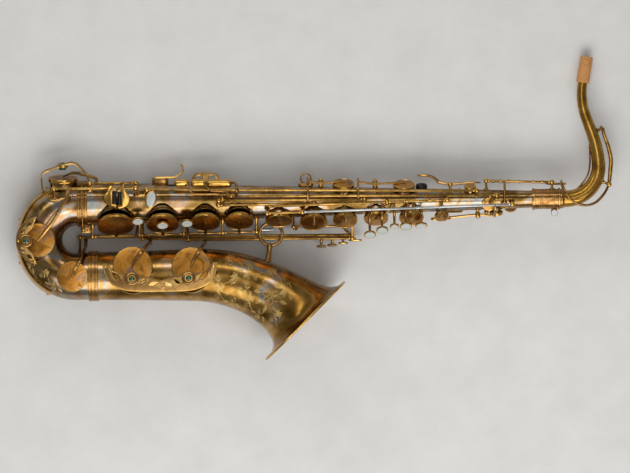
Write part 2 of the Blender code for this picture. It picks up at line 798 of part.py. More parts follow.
def seated(frame):
    """The frame of a closed cup's foot above a chimney."""
    return frame @ Matrix.Translation((0, 0, CHIMNEY_RISE + CUP_SEAT))


def bow_turn(x):
    """The turn along the upper half of the bow at which its centre line reaches a station."""
    return asin((-BOW_STRAIGHT - x) / BOW_RADIUS)


def bell_frame(x):
    """The frame on the right side of the bell's straight part, at a station."""
    distance = BELL_LENGTH - (x - BELL_START)
    return upright(bell_point(distance), bell_radius(distance)), bell_radius(distance)


def make_bell_keys(horn):
    """The low Bb, B and C sharp keys, whose long tubes lead down from the left little finger."""
    end = 391
    posts, bow_posts, bow_holes, bell_holes = [], [], [], []
    csharp_turn = pi - bow_turn(-0.015)
    csharp = upright(bow_point(csharp_turn), bow_radius(csharp_turn)), bow_radius(csharp_turn)
    for name, x, diameter, (frame, depth), line, start, foot, touch, opening in (
            ("low_bb_key", 157.6, 57, bell_frame(0.1576), (-54, -16), 152, 177, 346, BELL_KEY_OPENING),
            ("low_b_key", 73, 58, bell_frame(0.073), (-52, -24.5), 86, 97, 362, BELL_KEY_OPENING),
            ("low_csharp_key", -15, 45, csharp, (-49, -33), -5.6, 3, 378, 0.0)):
        y, z = line
        key = Key(name, horn, (start, y, z), -opening)
        key.tube(start + POST_END, end - POST_END)
        key.cup(seated(frame), diameter)
        top = (seated(frame).translation.z + CUP_SKIRT) / MM
        key.arm((foot, y, z), (foot, -62, z / 2), (foot - 1, -66, 15), ((foot + x) / 2 + 2, -83, top + 3),
                (x, frame.translation.y / MM, top + 1), thick=0.0026)
        reach = -41 if opening else -18
        key.arm((touch, y, z), (touch, -60, z - 3), (touch, -61, reach))
        key.touch(pill(0.015, 0.013), facing(at(touch, -61, reach), (0, -1, 0)), 0.003)
        key.done()
        posts.append(body_post(at(end, y, z)))
        ball = at(start, y, z)
        hole = ToneHole(frame, diameter, depth)
        if name == "low_csharp_key":
            bow_posts.append(post(ball, Vector((ball.x, BELL_AXIS_Y, 0)), BOW_END_RADIUS))
            bow_holes.append(hole)
        else:
            posts.append(body_post(ball))
            bell_holes.append(hole)
    return posts, bow_posts, bow_holes, bell_holes


def make_gsharp_lever(horn):
    """The left little finger's G sharp lever, which lets the G sharp cup rise."""
    y, z = -36, -28
    key = Key("gsharp_lever", horn, (306, y, z))
    key.tube(306 + POST_END, 384 - POST_END)
    key.arm((312, y, z), (310, -40, -16), (307, -40, -4))
    key.arm((377, y, z), (382, -42, -39), (394, -54, -43), (396, -57, -42))
    key.touch(pill(0.020, 0.012), facing(at(396, -57, -42), (0, -1, 0)), 0.003)
    key.done()
    return [body_post(at(306, y, z)), body_post(at(384, y, z))]


def half_moon(side):
    """The outline of a little-finger touch: a half moon with a gap in its straight side for a roller."""
    bow = arc((0.008, 0), 0.0155, pi / 2, 3 * pi / 2, 9)
    gap = [mm(8, -9.5), mm(2.5, -9.5), mm(2.5, 9.5), mm(8, 9.5)]
    points = [(x * side, y) for x, y in [*bow, *gap]]
    return points if side > 0 else points[::-1]


def make_roller(name, key, place):
    """A roller between the ears of a touch."""
    half = mm(0, 9.5 - CLEARANCE / MM, 0)
    roller = rod(place - half, place + half, 0.0028, 10)
    pivot = place.copy()
    return finished(roller, name, "black_plastic", key, pivot)


def make_foot_keys(horn):
    """The low C and low Eb keys on the bow, with their touches and rollers for the right hand."""
    cup_turn = pi / 2
    level = 49
    frame = upright(bow_point(cup_turn), bow_radius(cup_turn))
    hole = ToneHole(frame, 49.5, bow_radius(cup_turn))
    key = Key("low_c_key", horn, (-40, 22, 42), -radians(9))
    key.tube(-40 + POST_END, 78 - POST_END)
    key.cup(seated(frame), 49.5)
    top = (seated(frame).translation.z + CUP_SKIRT) / MM
    centre = bow_point(cup_turn) / MM
    key.arm((-19, 22, 42), (-22, 6, 50), (-40, -25, top + 9), (centre.x, centre.y, top + 1), thick=0.0026)
    key.arm((42, 22, 42), (42, 20, 46), (42, 14, level - 0.5))
    touch = at(42, 7.5, level)
    key.touch(half_moon(1), Matrix.Translation(touch), 0.003)
    low_c = key.done()
    make_roller("low_c_roller", low_c, touch + mm(6, 0, 0) - key.pivot)
    posts = [body_post(at(78, 22, 42)), body_post(at(12, 29.5, 35)), body_post(at(78, 29.5, 35))]
    lean = radians(12)
    turn = bow_turn(-0.028)
    out = Vector((0, cos(lean), sin(lean)))
    reach = bow_radius(turn) / cos(turn)
    frame = facing(bow_point(turn) + out * reach, out)
    eb_hole = ToneHole(frame, 44, reach)
    key = Key("low_eb_key", horn, (12, 29.5, 35))
    key.tube(12 + POST_END, 78 - POST_END)
    key.cup(seated(frame), 44)
    top = seated(frame) @ Vector((0, 0, CUP_SKIRT + 0.001)) / MM
    key.arm((21, 29.5, 35), (20, 37, 33), (4, 42, 27), (-14, 45, 17), top, thick=0.0024)
    key.arm((61, 29.5, 35), (61, 30, 44), (61, 24, level - 1), (61, 14, level - 0.5))
    touch = at(61, 7.5, level)
    key.touch(half_moon(-1), Matrix.Translation(touch), 0.003)
    low_eb = key.done()
    make_roller("low_eb_roller", low_eb, touch - mm(6, 0, 0) - key.pivot)
    ball = at(-40, 22, 42)
    bow_post = post(ball, bow_point(bow_turn(ball.x)), bow_radius(bow_turn(ball.x)))
    return posts, [bow_post], [hole, eb_hole]


def ribbon(path, width):
    """The outline of a strip of one width along a path in the XY plane."""
    left, right = [], []
    for i, point in enumerate(path):
        before, after = path[max(i - 1, 0)], path[min(i + 1, len(path) - 1)]
        way = (Vector(after) - Vector(before)).normalized()
        side = Vector((-way.y, way.x)) * width / 2
        left.append(tuple(Vector(point) + side))
        right.append(tuple(Vector(point) - side))
    return left + right[::-1]


def leg(x, y, top):
    """An upright guard leg that reaches into the tube under it, to be trimmed there."""
    return rod(mm(x, y, 0), mm(x, y, top), 0.0022)


def make_guards(horn):
    """The guards over the low C, low B, low Bb and low Eb cups, and the strip round the bow."""
    level = 0.066
    centre = (-0.060, bow_point(pi / 2).y)
    sweep = arc(centre, 0.031, radians(105), radians(255), 9)
    crescent = plate(ribbon(sweep, 0.011), 0.0022, Matrix.Translation((0, 0, level)))
    boss = rod(Vector((-0.080, centre[1], level - 0.003)), Vector((-0.080, centre[1], level + 0.003)), 0.009, 16)
    legs = [leg(*place, level / MM) for place in ((-68, -22.5), (-68, -82.5), (-91.5, -52.5))]
    guard = cut(fused(crescent, boss, *legs), bow_solid(CLEARANCE, 0.02))
    finished(guard, "low_c_guard", "key_brass", horn)

    path = [(34, -91), (40, -109), (56, -119), (117, -121), (166, -119), (183, -109), (190, -91)]
    strap = plate(ribbon([(x * MM, y * MM) for x, y in path], 0.010), 0.0022,
                  Matrix.Translation((0, 0, level)))
    bosses = [rod(Vector((x, -0.109, level - 0.003)), Vector((x, -0.109, level + 0.003)), 0.010, 16)
              for x in (0.072, 0.154)]
    legs = [leg(*place, level / MM) for place in ((34, -91), (190, -91), (117, -122))]
    guard = cut(fused(strap, *bosses, *legs), bell_solid(CLEARANCE))
    finished(guard, "bell_key_guard", "key_brass", horn)

    lean = radians(12)
    out = Vector((0, cos(lean), sin(lean)))
    base = bow_point(bow_turn(-0.028)).y
    rise = [(-58, 14), (-58, 46), (-52, 55), (-40, 59), (-28, 60), (-12, 59), (2, 56), (10, 49), (12, 20)]
    points = [Vector((x * MM, base, 0.004)) + out * w * MM for x, w in rise]
    middle = Vector((-0.028, base, 0.004)) + out * 0.060
    boss = rod(middle - out * 0.003, middle + out * 0.003, 0.008, 12)
    guard = cut(fused(wire(points, 0.0022), boss), bow_solid(CLEARANCE, 0.0))
    guard = cut(guard, body_solid(CLEARANCE, 0.01))
    finished(guard, "low_eb_guard", "key_brass", horn)

    turns = [0.45 + 2.25 * i / 12 for i in range(13)]

    def edge(gap):
        return [tuple((BOW_AXIS + (BOW_RADIUS + bow_radius(t) + gap) * Vector((-sin(t), cos(t), 0)))[:2])
                for t in turns]
    strip = plate(edge(0.0028) + edge(2 * CLEARANCE)[::-1], 0.008, Matrix())
    finished(strip, "bow_guard", "key_brass", horn)


def make_fittings(horn):
    """The bell brace, strap ring, thumb hook and thumb rest, each trimmed to the tube that carries it."""
    centre = at(273, -47, -8.5)
    spots = [2 * pi * i / 20 for i in range(20)]
    ring = wire([centre + 0.0165 * Vector((cos(a), sin(a), 0)) for a in spots], 0.0022, ring=True)
    top = rod(centre + mm(0, 16, 0), centre + mm(0, 30, -6), 0.0036)
    foot = rod(centre + mm(-2, -16, 0), centre + mm(-5, -45, 3), 0.0045)
    brace = cut(fused(ring, top, foot), body_solid(CLEARANCE))
    finished(cut(brace, bell_solid(CLEARANCE)), "bell_brace", "key_brass", horn)

    centre = at(324.5, 33.4, 0)
    ring = wire([centre + 0.0074 * Vector((cos(a), sin(a), 0)) for a in spots[::2]], 0.0012, ring=True)
    base = plate(pill(0.022, 0.008), 0.006, facing(at(324.5, 23.4, 0), (0, 1, 0)))
    finished(cut(fused(base, ring), body_solid(CLEARANCE)), "strap_ring", "key_brass", horn)

    path = [(104, 34.5), (132, 35), (141, 38.5), (146, 45), (145.5, 52), (143, 57)]
    hook = plate(ribbon([(x * STATION, y * MM) for x, y in path], 0.0026), 0.013, Matrix())
    base = plate(pill(0.024, 0.012), 0.010, facing(at(113, 30.5, 0), (0, 1, 0)))
    finished(cut(fused(hook, base), body_solid(CLEARANCE)), "thumb_hook", "key_brass", horn)

    profile = [(0, 0.0255), (0.006, 0.0245), (0.0085, 0.0215), (0.0085, 0.010), (0, 0.010)]
    rest = moved(turned(profile, 14), facing(at(492.5, 0, 0), (0, 1, 0)))
    finished(cut(rest, body_solid(CLEARANCE)), "thumb_rest", "black_plastic", horn)


def make_octave(horn):
    """The thumb lever and the octave arm, with its pad on the body and its pin for the neck."""
    panel = Panel("octave_panel", 180, horn)
    lever, posts, _ = rocker("octave_lever", panel, 534, 576, 0, 516, 7)
    lever.arm((518, 0, 9.8), (510, 0, 16), (500, 0, 19), (492, 0, 18.5), thick=0.0022)
    lever.touch(pill(0.020, 0.015), Matrix.Translation(at(496, 0, 19)), 0.0026)
    lever.done()
    start, end, height = 586.5, OCTAVE_POST, OCTAVE_RAIL
    key = Key("octave_arm", panel.carrier, (start, 0, height))
    key.tube(start + POST_END, end - POST_END)
    rounds = [swing(613, degrees, height - 0.035 * abs(degrees)) for degrees in (0, -25, -50, -75, -98, -115)]
    key.arm(*rounds, thick=0.0019)
    key.cup(seat_frame(613, -115), 10)
    key.arm((end - 10, 0, height), (end - 6, 5.2, 10.5), (end + 4, 5.2, 10.2), (end + 12, 2, 10.6),
            (end + 20, 0, 10.5))
    key.done()
    return posts + [panel.post(start, 0, height)], [panel.hole(613, 10, -115)]


def neck_line():
    """Points and headings up the neck's centre line, from the receiver to the tip of the cork."""
    place, heading = Vector((RECEIVER_END + CLEARANCE, 0, 0)), 0.0
    line = [(place.copy(), heading)]
    for length, turn, steps in ((NECK_LEAD, 0, 1), (NECK_BEND_RADIUS * NECK_BEND, NECK_BEND, 7),
                                (NECK_RISE_RADIUS * NECK_RISE_TURN, NECK_RISE_TURN, 3), (NECK_RISE, 0, 1),
                                (NECK_TIP_BEND_RADIUS * NECK_TIP_BEND, -NECK_TIP_BEND, 4),
                                (CORK_LENGTH, 0, 1)):
        for _ in range(steps):
            heading += turn / steps / 2
            place += length / steps * Vector((cos(heading), sin(heading), 0))
            heading += turn / steps / 2
            line.append((place.copy(), heading))
    return line


def neck_radii(points):
    """Outer radius at each point of the neck: it tapers up to the cork and is straight inside it."""
    runs = [0.0]
    for first, second in zip(points, points[1:]):
        runs.append(runs[-1] + (second - first).length)
    taper = runs[-1] - CORK_LENGTH
    return [NECK_TIP_RADIUS + (NECK_FOOT_RADIUS - NECK_TIP_RADIUS) * max(1 - run / taper, 0) ** NECK_TAPER
            for run in runs]


def make_receiver(horn):
    """The socket for the neck, split and clamped by a screw through two ears."""
    start, end, ring = BODY_LENGTH - 0.006, RECEIVER_END, RECEIVER_RADIUS + 0.001
    profile = [(ring, end), (ring, end - 0.003), (RECEIVER_RADIUS, end - 0.0035),
               (RECEIVER_RADIUS, start + 0.0045), (ring, start + 0.004), (ring, start),
               (RECEIVER_BORE, start), (RECEIVER_BORE, end)]
    sleeve = moved(turned(profile, 16, loop=True), facing(Vector(), (1, 0, 0), (0, 0, 1)))
    screw = Vector((RECEIVER_END - 0.009, -RECEIVER_RADIUS - EAR_REACH, 0))
    half = EAR_WIDTH / 2
    root = -(RECEIVER_RADIUS + 3 * RECEIVER_BORE) / 4
    outline = arc(screw, half, pi, 2 * pi, 6) + [(screw.x + half, root), (screw.x - half, root)]
    ears = [plate(outline, EAR_THICKNESS, Matrix.Translation((0, 0, side * (EAR_SPLIT + EAR_THICKNESS) / 2)))
            for side in (1, -1)]
    ball = panel_matrix(pi) @ at(OCTAVE_POST, 0, OCTAVE_RAIL)
    sleeve = fused(sleeve, *ears, post(ball, Vector((ball.x, 0, 0)), RECEIVER_RADIUS))
    slot = [(RECEIVER_END - 0.020, -RECEIVER_RADIUS - 0.004), (RECEIVER_END + 0.002, -RECEIVER_RADIUS - 0.004),
            (RECEIVER_END + 0.002, -RECEIVER_BORE + 0.004), (RECEIVER_END - 0.020, -RECEIVER_BORE + 0.004)]
    depth = EAR_SPLIT / 2 + EAR_THICKNESS
    up = Vector((0, 0, depth + 0.002))
    sleeve = cut(sleeve, plate(slot, EAR_SPLIT, Matrix()))
    sleeve = cut(sleeve, rod(screw - up, screw + up, SCREW_RADIUS + CLEARANCE, 10))
    finished(sleeve, "neck_receiver", "key_brass", horn)
    head = depth + CLEARANCE
    shank = rod(Vector((0, 0, -depth - 0.002)), Vector((0, 0, head + 0.001)), SCREW_RADIUS, 10)
    knob = rod(Vector((0, 0, head)), Vector((0, 0, head + 0.003)), 2.6 * SCREW_RADIUS, 14)
    finished(moved(fused(shank, knob), Matrix.Translation(screw)), "neck_screw", "steel", horn, screw)


def make_neck(horn):
    """The neck tube with its tenon, collar, brace and octave pip, its cork, and the octave key over it."""
    swivel = empty("neck_swivel", Matrix.Translation((RECEIVER_END, 0, 0)), horn)
    inverse = Matrix.Translation((-RECEIVER_END, 0, 0))
    line = neck_line()
    points = [point for point, _ in line]
    radii = neck_radii(points)
    tenon = Vector((BODY_LENGTH + 0.001, 0, 0))
    skin = [(tenon, 0.0, NECK_FOOT_RADIUS)] + [(*spot, radius) for spot, radius in zip(line, radii)]
    rings = [(place, (cos(lean), sin(lean), 0), radius) for place, lean, radius in skin]
    bore = [(place, axis, radius - NECK_WALL) for place, axis, radius in reversed(rings)]
    tube = lofted(rings + bore, NECK_SIDES, hollow=True)
    collar = band(RECEIVER_END + CLEARANCE, RECEIVER_END + 0.006, NECK_FOOT_RADIUS - NECK_WALL / 2,
                  RECEIVER_RADIUS - 0.0006)
    foot = Vector((RECEIVER_END, 0, 0))
    pivot = foot + mm(71, 20, 0)
    pivots = [post(pivot + Vector((0, 0, side * 0.0065)), points[PIVOT_STEP],
                   radii[PIVOT_STEP]) for side in (1, -1)]
    spot, heading = line[PIP_STEP]
    out = Vector((sin(heading), -cos(heading), 0))
    pip_top = spot + out * (radii[PIP_STEP] + 0.004)
    pip = rod(spot + out * (radii[PIP_STEP] - NECK_WALL / 2), pip_top, 0.0027)
    brace = [line[i][0] + (radii[i] + lift) * Vector((-sin(line[i][1]), cos(line[i][1]), 0))
             for i, lift in ((3, 0.0), (4, 0.003), (6, 0.0045), (8, 0.0045), (9, 0.003), (10, 0.0))]
    tube = fused(tube, collar, *pivots, pip, wire(brace, 0.0022))
    tube = cut(tube, rod(spot, pip_top + out * 0.002, 0.0013))
    finished(moved(tube, inverse), "neck_tube", "aged_brass", swivel)

    tip, lean = line[-1]
    base = line[-2][0]
    sleeve = NECK_TIP_RADIUS + CLEARANCE
    profile = [(CORK_TIP_RADIUS, CORK_LENGTH), (CORK_BASE_RADIUS, 0), (sleeve, 0), (sleeve, CORK_LENGTH)]
    cork = moved(turned(profile, 20, loop=True), facing(base, (cos(lean), sin(lean), 0), (0, 0, 1)))
    finished(moved(cork, inverse), "neck_cork", "cork", swivel)

    key = Key("neck_octave_key", swivel, (0, 0, 0), across=True)
    key.pivot = pivot + inverse.translation
    bar = Vector((0, 0, 0.0065 - POST_GAP - CLEARANCE))
    pieces = [rod(pivot - bar, pivot + bar, HINGE_RADIUS)]
    pad = pip_top + out * CUP_SEAT
    bend = [foot + mm(x, y, 0) for x, y in ((75, 40), (76, 57), (71.5, 76), (65, 94))]
    pieces.append(arm([pivot, *bend, pad + out * 0.004]))
    pieces.append(rod(pad, pad + out * 0.0042, 0.0045, 12))
    half = [mm(64, 7, 10), mm(52, -5.4, 16.5), mm(36, -10, 20), mm(17, -3.6, 22.5), mm(8, 8, 23.5),
            mm(3, 19.5, 17), mm(2, 23.5, 11)]
    mirrored = [Vector((point.x, point.y, -point.z)) for point in reversed(half)]
    loop = [foot + point for point in (mm(70, 18, 0), *half, mm(1.5, 26, 0), *mirrored)]
    pieces.append(wire(loop, WIRE_RADIUS, ring=True))
    loop_key = moved(fused(*pieces), inverse)
    finished(loop_key, "neck_octave_key", "key_brass", swivel, key.pivot)


def lowest(discs, up):
    """The lowest edge point of some discs, each given by its centre, axis and radius."""
    edges = [centre - radius * (up - up.dot(axis) * axis).normalized() for centre, axis, radius in discs]
    return min(edges, key=up.dot)


def resting_turn():
    """The turn that lays the horn on its bell rim, the tip of its cork and the side of its bow."""
    tip, lean = neck_line()[-1]
    turns = [pi * i / 24 for i in range(25)]
    rests = ([(bell_point(0), RIM_NORMAL, BELL_RIM_RADIUS + BELL_BEAD)],
             [(tip, Vector((cos(lean), sin(lean), 0)), CORK_TIP_RADIUS)],
             [(bow_point(t), Vector((-cos(t), -sin(t), 0)), bow_radius(t)) for t in turns])
    up = Vector((0, 0, 1))
    for _ in range(20):
        rim, cork, bow = (lowest(discs, up) for discs in rests)
        up = (cork - rim).cross(bow - rim).normalized()
    along = (Vector((1, 0, 0)) - up.x * up).normalized()
    return Matrix((along, up.cross(along), up)).to_4x4()


def lay_down(horn):
    """Turns the horn to how it rests, with the middle of its box's underside at the origin."""
    horn.matrix_basis = resting_turn()
    bpy.context.view_layer.update()
    places = [obj.matrix_world @ vertex.co for obj in PARTS.objects if obj.type == "MESH"
              for vertex in obj.data.vertices]
    low = [min(place[i] for place in places) for i in range(3)]
    high = [max(place[i] for place in places) for i in range(3)]
    horn.location = (-(low[0] + high[0]) / 2, -(low[1] + high[1]) / 2, -low[2])
    bpy.context.view_layer.update()
    print("size in millimetres:", [round((b - a) / MM, 1) for a, b in zip(low, high)])


def main():
    horn = empty("horn", Matrix())
    posts, holes = [], []
    for make in (make_lower_stack, make_upper_stack, make_palm_keys, make_side_keys, make_high_keys,
                 make_octave):
        more_posts, more_holes = make(horn)
        posts += more_posts
        holes += more_holes
    bell_posts, bow_posts, bow_holes, bell_holes = make_bell_keys(horn)
    foot_posts, foot_bow_posts, foot_holes = make_foot_keys(horn)
    posts += bell_posts + foot_posts + make_gsharp_lever(horn)
    tube = drilled(fused(body_solid(), *posts), holes, body_solid(-TUBE_WALL, TUBE_WALL))
    finished(tube, "body_tube", "aged_brass", horn)
    make_bow(horn, bow_holes + foot_holes, bow_posts + foot_bow_posts)
    make_bell(horn, bell_holes)
    make_ferrules(horn)
    make_guards(horn)
    make_fittings(horn)
    make_receiver(horn)
    make_neck(horn)
    lay_down(horn)
    counts = {obj.name: sum(len(face.vertices) - 2 for face in obj.data.polygons)
              for obj in PARTS.objects if obj.type == "MESH"}
    print("pieces:", len(counts), "triangles:", sum(counts.values()))


main()
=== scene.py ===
# %% [markdown]
# # A tenor saxophone in aged, unlacquered brass
#
# The CAD model gives this scene its pieces, their joints and their sizes, in coarse flat faces.
# Here each piece is made again with round forms and real finishes, in the same place, so that it rides
# on the CAD body that moves it. The horn lies on its left side, as it would on a table.

# %% Load the frame
import json
from math import asin, atan, cos, log, pi, radians, sin

import bmesh
import bpy
from mathutils import Matrix, Vector

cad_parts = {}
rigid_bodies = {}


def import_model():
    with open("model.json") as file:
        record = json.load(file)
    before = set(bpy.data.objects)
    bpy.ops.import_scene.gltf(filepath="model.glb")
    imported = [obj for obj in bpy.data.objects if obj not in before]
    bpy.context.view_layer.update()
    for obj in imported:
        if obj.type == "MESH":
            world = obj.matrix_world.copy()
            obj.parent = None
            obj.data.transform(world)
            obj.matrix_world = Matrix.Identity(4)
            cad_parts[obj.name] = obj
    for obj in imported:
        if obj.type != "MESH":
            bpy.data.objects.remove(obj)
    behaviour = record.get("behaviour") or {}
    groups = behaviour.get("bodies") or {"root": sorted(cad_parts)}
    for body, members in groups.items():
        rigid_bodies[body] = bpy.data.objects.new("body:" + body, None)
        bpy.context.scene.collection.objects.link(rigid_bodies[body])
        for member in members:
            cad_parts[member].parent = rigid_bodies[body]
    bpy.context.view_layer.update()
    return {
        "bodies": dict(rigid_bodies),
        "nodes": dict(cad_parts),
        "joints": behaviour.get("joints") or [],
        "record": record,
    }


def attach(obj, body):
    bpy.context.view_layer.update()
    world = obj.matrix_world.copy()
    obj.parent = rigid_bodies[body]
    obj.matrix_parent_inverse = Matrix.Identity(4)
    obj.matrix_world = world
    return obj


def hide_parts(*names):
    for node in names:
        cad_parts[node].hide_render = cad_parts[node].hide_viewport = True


# Blender starts with a cube, a lamp and a camera
for leftover in list(bpy.data.objects):
    bpy.data.objects.remove(leftover)
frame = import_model()
JOINTS = {joint["name"]: joint for joint in frame["joints"]}
print("CAD pieces:", len(frame["nodes"]), "joints:", len(JOINTS))

# %% [markdown]
# ## The horn's own axes
#
# A maker measures a saxophone along its body tube. So do we: +X runs up the tube to the neck, +Y points
# at the player and +Z out of the player's right side. The CAD frame lies on the table instead, so one
# matrix leads from the horn's axes to it. It comes from two joints of the record: the neck swivels about
# X and its clamp screw turns about Z.

# %% Horn axes and main sizes
MM = 0.001
BODY_LENGTH, BODY_FOOT_RADIUS, BODY_TOP_RADIUS = 0.659, 0.0315, 0.0123
TUBE_WALL = 0.0012
RECEIVER_LENGTH, RECEIVER_RADIUS, RECEIVER_BORE = 0.035, 0.0147, 0.0128
RECEIVER_END = BODY_LENGTH + RECEIVER_LENGTH
up = Vector(JOINTS["neck_screw_turn"]["axis"])
along = Vector(JOINTS["neck_swivel"]["axis"])
HORN = Matrix((along, up.cross(along), up)).transposed().to_4x4()
HORN.translation = Vector(JOINTS["neck_swivel"]["pos_m"]) - RECEIVER_END * along
print("horn origin in the CAD frame, mm:", [round(x / MM, 1) for x in HORN.translation])


def mm(*values):
    """A point given in millimetres."""
    return Vector(values) * MM


def facing(place, direction, along=(1, 0, 0)):
    """A frame at a place whose Z axis points in a direction, with X as near as it can to along."""
    up = Vector(direction).normalized()
    side = up.cross(Vector(along)).normalized()
    turn = Matrix((side.cross(up), side, up)).transposed().to_4x4()
    return Matrix.Translation(place) @ turn


def round_angles(count):
    """Angles that part a circle evenly."""
    return [2 * pi * i / count for i in range(count)]


# Turns a lathe's axis, which is Z, to run up the body tube
X_AXIS = facing(Vector(), (1, 0, 0), (0, 0, 1))

# %% [markdown]
# ## Finishes
#
# Unlacquered brass goes brown, with copper and blue-grey stains where hands and air have worked on it,
# and stays gold where fingers polish it. One recipe with different colours serves for each brass. A wide
# soft noise runs through the colours, as tarnish films do, a finer one darkens it in spots and makes its
# roughness uneven, and a slow wave in the surface bends the reflections, as on hand-burnished sheet.
# Scales are worked out from the size of a stain in millimetres.

# %% Material helpers
# Sockets of a Mix node that mixes colours, which have no names of their own
MIX_FIRST, MIX_SECOND, MIX_RESULT = 6, 7, 2


def linear(code):
    """A linear colour from an sRGB hex value."""
    values = [int(code[i:i + 2], 16) / 255 for i in (1, 3, 5)]
    return [v / 12.92 if v <= 0.04045 else ((v + 0.055) / 1.055) ** 2.4 for v in values] + [1.0]


def add_node(tree, kind, settings=(), links=()):
    """A node with its settings, by attribute or socket, and its links from other nodes' outputs."""
    made = tree.nodes.new(kind)
    for key, value in dict(settings).items():
        if isinstance(key, str) and hasattr(made, key):
            setattr(made, key, value)
        else:
            made.inputs[key].default_value = value
    for socket, source in dict(links).items():
        tree.links.new(source, made.inputs[socket])
    return made


def scale_for(size_mm):
    """The texture scale whose pattern repeats about every so many millimetres, in metres of object."""
    return 1000.0 / size_mm


def new_material(name, metallic, roughness):
    """A material, its tree, its shader and the object's coordinates, which its patterns follow."""
    material = bpy.data.materials.new(name)
    material.use_nodes = True
    shader = material.node_tree.nodes["Principled BSDF"]
    shader.inputs["Metallic"].default_value = metallic
    shader.inputs["Roughness"].default_value = roughness
    place = add_node(material.node_tree, "ShaderNodeTexCoord").outputs["Object"]
    return material, material.node_tree, shader, place


def ramp(tree, source, stops):
    """A colour ramp through (position, hex colour) stops."""
    made = add_node(tree, "ShaderNodeValToRGB", {}, {"Fac": source})
    elements = made.color_ramp.elements
    while len(elements) < len(stops):
        elements.new(0.5)
    for element, (position, code) in zip(elements, stops):
        element.position = position
        element.color = linear(code)
    return made.outputs["Color"]


print("texture scale of a 1 mm pattern:", scale_for(1))


# %% Brass finishes
# Colour of rubbed edges, and the length of the waves that burnishing leaves
RUBBED, BURNISH_MM = "#d9b566", 9


def brass(name, stops, roughness, stain_mm=45, spread=0.05, tarnish="#4a3018", spots=0.25, edge=0.25):
    """Aged brass: stains as wide as stain_mm run through the colour stops, and tarnish gathers in spots."""
    material, tree, shader, place = new_material(name, 1.0, roughness)
    film = add_node(tree, "ShaderNodeTexNoise",
                    {"Scale": scale_for(stain_mm), "Detail": 2.5, "Roughness": 0.5, "Distortion": 1.2},
                    {"Vector": place})
    colour = ramp(tree, film.outputs["Fac"], stops)
    fine = add_node(tree, "ShaderNodeTexNoise",
                    {"Scale": scale_for(stain_mm / 5), "Detail": 2.0, "Roughness": 0.5}, {"Vector": place})
    mask = add_node(tree, "ShaderNodeMapRange", {"From Min": 0.54, "From Max": 0.78, "To Max": spots},
                    {"Value": fine.outputs["Fac"]})
    mixed = add_node(tree, "ShaderNodeMix", {"data_type": "RGBA", MIX_SECOND: linear(tarnish)},
                     {"Factor": mask.outputs["Result"], MIX_FIRST: colour})
    # Edges are rubbed bright, where creases keep their tarnish
    pointy = add_node(tree, "ShaderNodeNewGeometry").outputs["Pointiness"]
    worn = add_node(tree, "ShaderNodeMapRange", {"From Min": 0.51, "From Max": 0.6, "To Max": edge},
                    {"Value": pointy})
    bright = add_node(tree, "ShaderNodeMix", {"data_type": "RGBA", MIX_SECOND: linear(RUBBED)},
                      {"Factor": worn.outputs["Result"], MIX_FIRST: mixed.outputs[MIX_RESULT]})
    tree.links.new(bright.outputs[MIX_RESULT], shader.inputs["Base Color"])
    uneven = add_node(tree, "ShaderNodeMapRange",
                      {"From Min": 0.3, "From Max": 0.7,
                       "To Min": roughness - spread, "To Max": roughness + spread},
                      {"Value": fine.outputs["Fac"]})
    tree.links.new(uneven.outputs["Result"], shader.inputs["Roughness"])
    waves = add_node(tree, "ShaderNodeTexNoise", {"Scale": scale_for(BURNISH_MM), "Detail": 1.0},
                     {"Vector": place})
    bump = add_node(tree, "ShaderNodeBump", {"Strength": 0.12, "Distance": 0.0006},
                    {"Height": waves.outputs["Fac"]})
    tree.links.new(bump.outputs["Normal"], shader.inputs["Normal"])
    return material


FINISH = {
    # Old sheet brass, burnished and left bare: olive brown, with copper and blue-grey films
    "body": brass("aged_body_brass", [
        (0.28, "#5c421d"), (0.42, "#7c5f30"), (0.49, "#93764a"), (0.55, "#ae8868"), (0.61, "#8f958f"),
        (0.67, "#a5845a"), (0.76, "#795a30")], 0.21),
    # The bell is handled less: more golden, with the same films
    "bell": brass("aged_bell_brass", [
        (0.28, "#724f1b"), (0.42, "#987136"), (0.5, "#b08a4a"), (0.56, "#bb9068"), (0.62, "#989b90"),
        (0.68, "#b48c50"), (0.76, "#946e30")], 0.24, 50),
    # The neck is wiped after playing: clean and golden, with hardly a stain
    "neck": brass("golden_neck_brass", [(0.32, "#8a6424"), (0.5, "#ae8238"), (0.66, "#c2974c")], 0.26, 40),
    # Drawn tube of the hinges, smooth from the die: narrow bright highlights
    "rod": brass("drawn_rod_brass", [(0.32, "#8c6630"), (0.5, "#b0843f"), (0.68, "#c69c58")], 0.22, 18),
    # Cast and filed arms, softer in their gloss and browner
    "key": brass("filed_key_brass", [(0.32, "#80592c"), (0.5, "#9f7340"), (0.68, "#b68c55")], 0.25, 18),
    # Stamped cups, brown with rubbed rims
    "cup": brass("brown_cup_brass", [
        (0.28, "#7f551f"), (0.44, "#a06e2e"), (0.56, "#b48036"), (0.7, "#8a6a4c")], 0.3, 26),
    # The cups on the bell are more orange, with purple-grey films
    "bell_cup": brass("orange_cup_brass", [
        (0.3, "#8f5f25"), (0.44, "#b57c33"), (0.54, "#ce8d38"), (0.63, "#9a7a66"),
        (0.72, "#aa7432")], 0.36, 22),
    # Guards of sheet with more copper in it, gone brown, bright where sleeves rub their edges
    "guard": brass("copper_brown_guard_brass", [(0.3, "#694627"), (0.5, "#845a36"), (0.7, "#9a7046")],
                   0.34, 20, edge=0.7),
    # Touches and rims that fingers polish: bright gold, with the sharpest reflections
    "touch": brass("finger_polished_brass", [(0.3, "#b98a3c"), (0.5, "#d0a04e"), (0.7, "#deb166")], 0.2, 20,
                   0.04, "#8a6630", 0.2),
    # Fresh metal in the cuts of an engraver's tool
    "cut": brass("bright_engraved_brass", [(0.3, "#bf9a50"), (0.6, "#d8ba78")], 0.34, 8,
                 0.04, "#a08044", 0.2),
}
print("brass finishes:", ", ".join(FINISH))

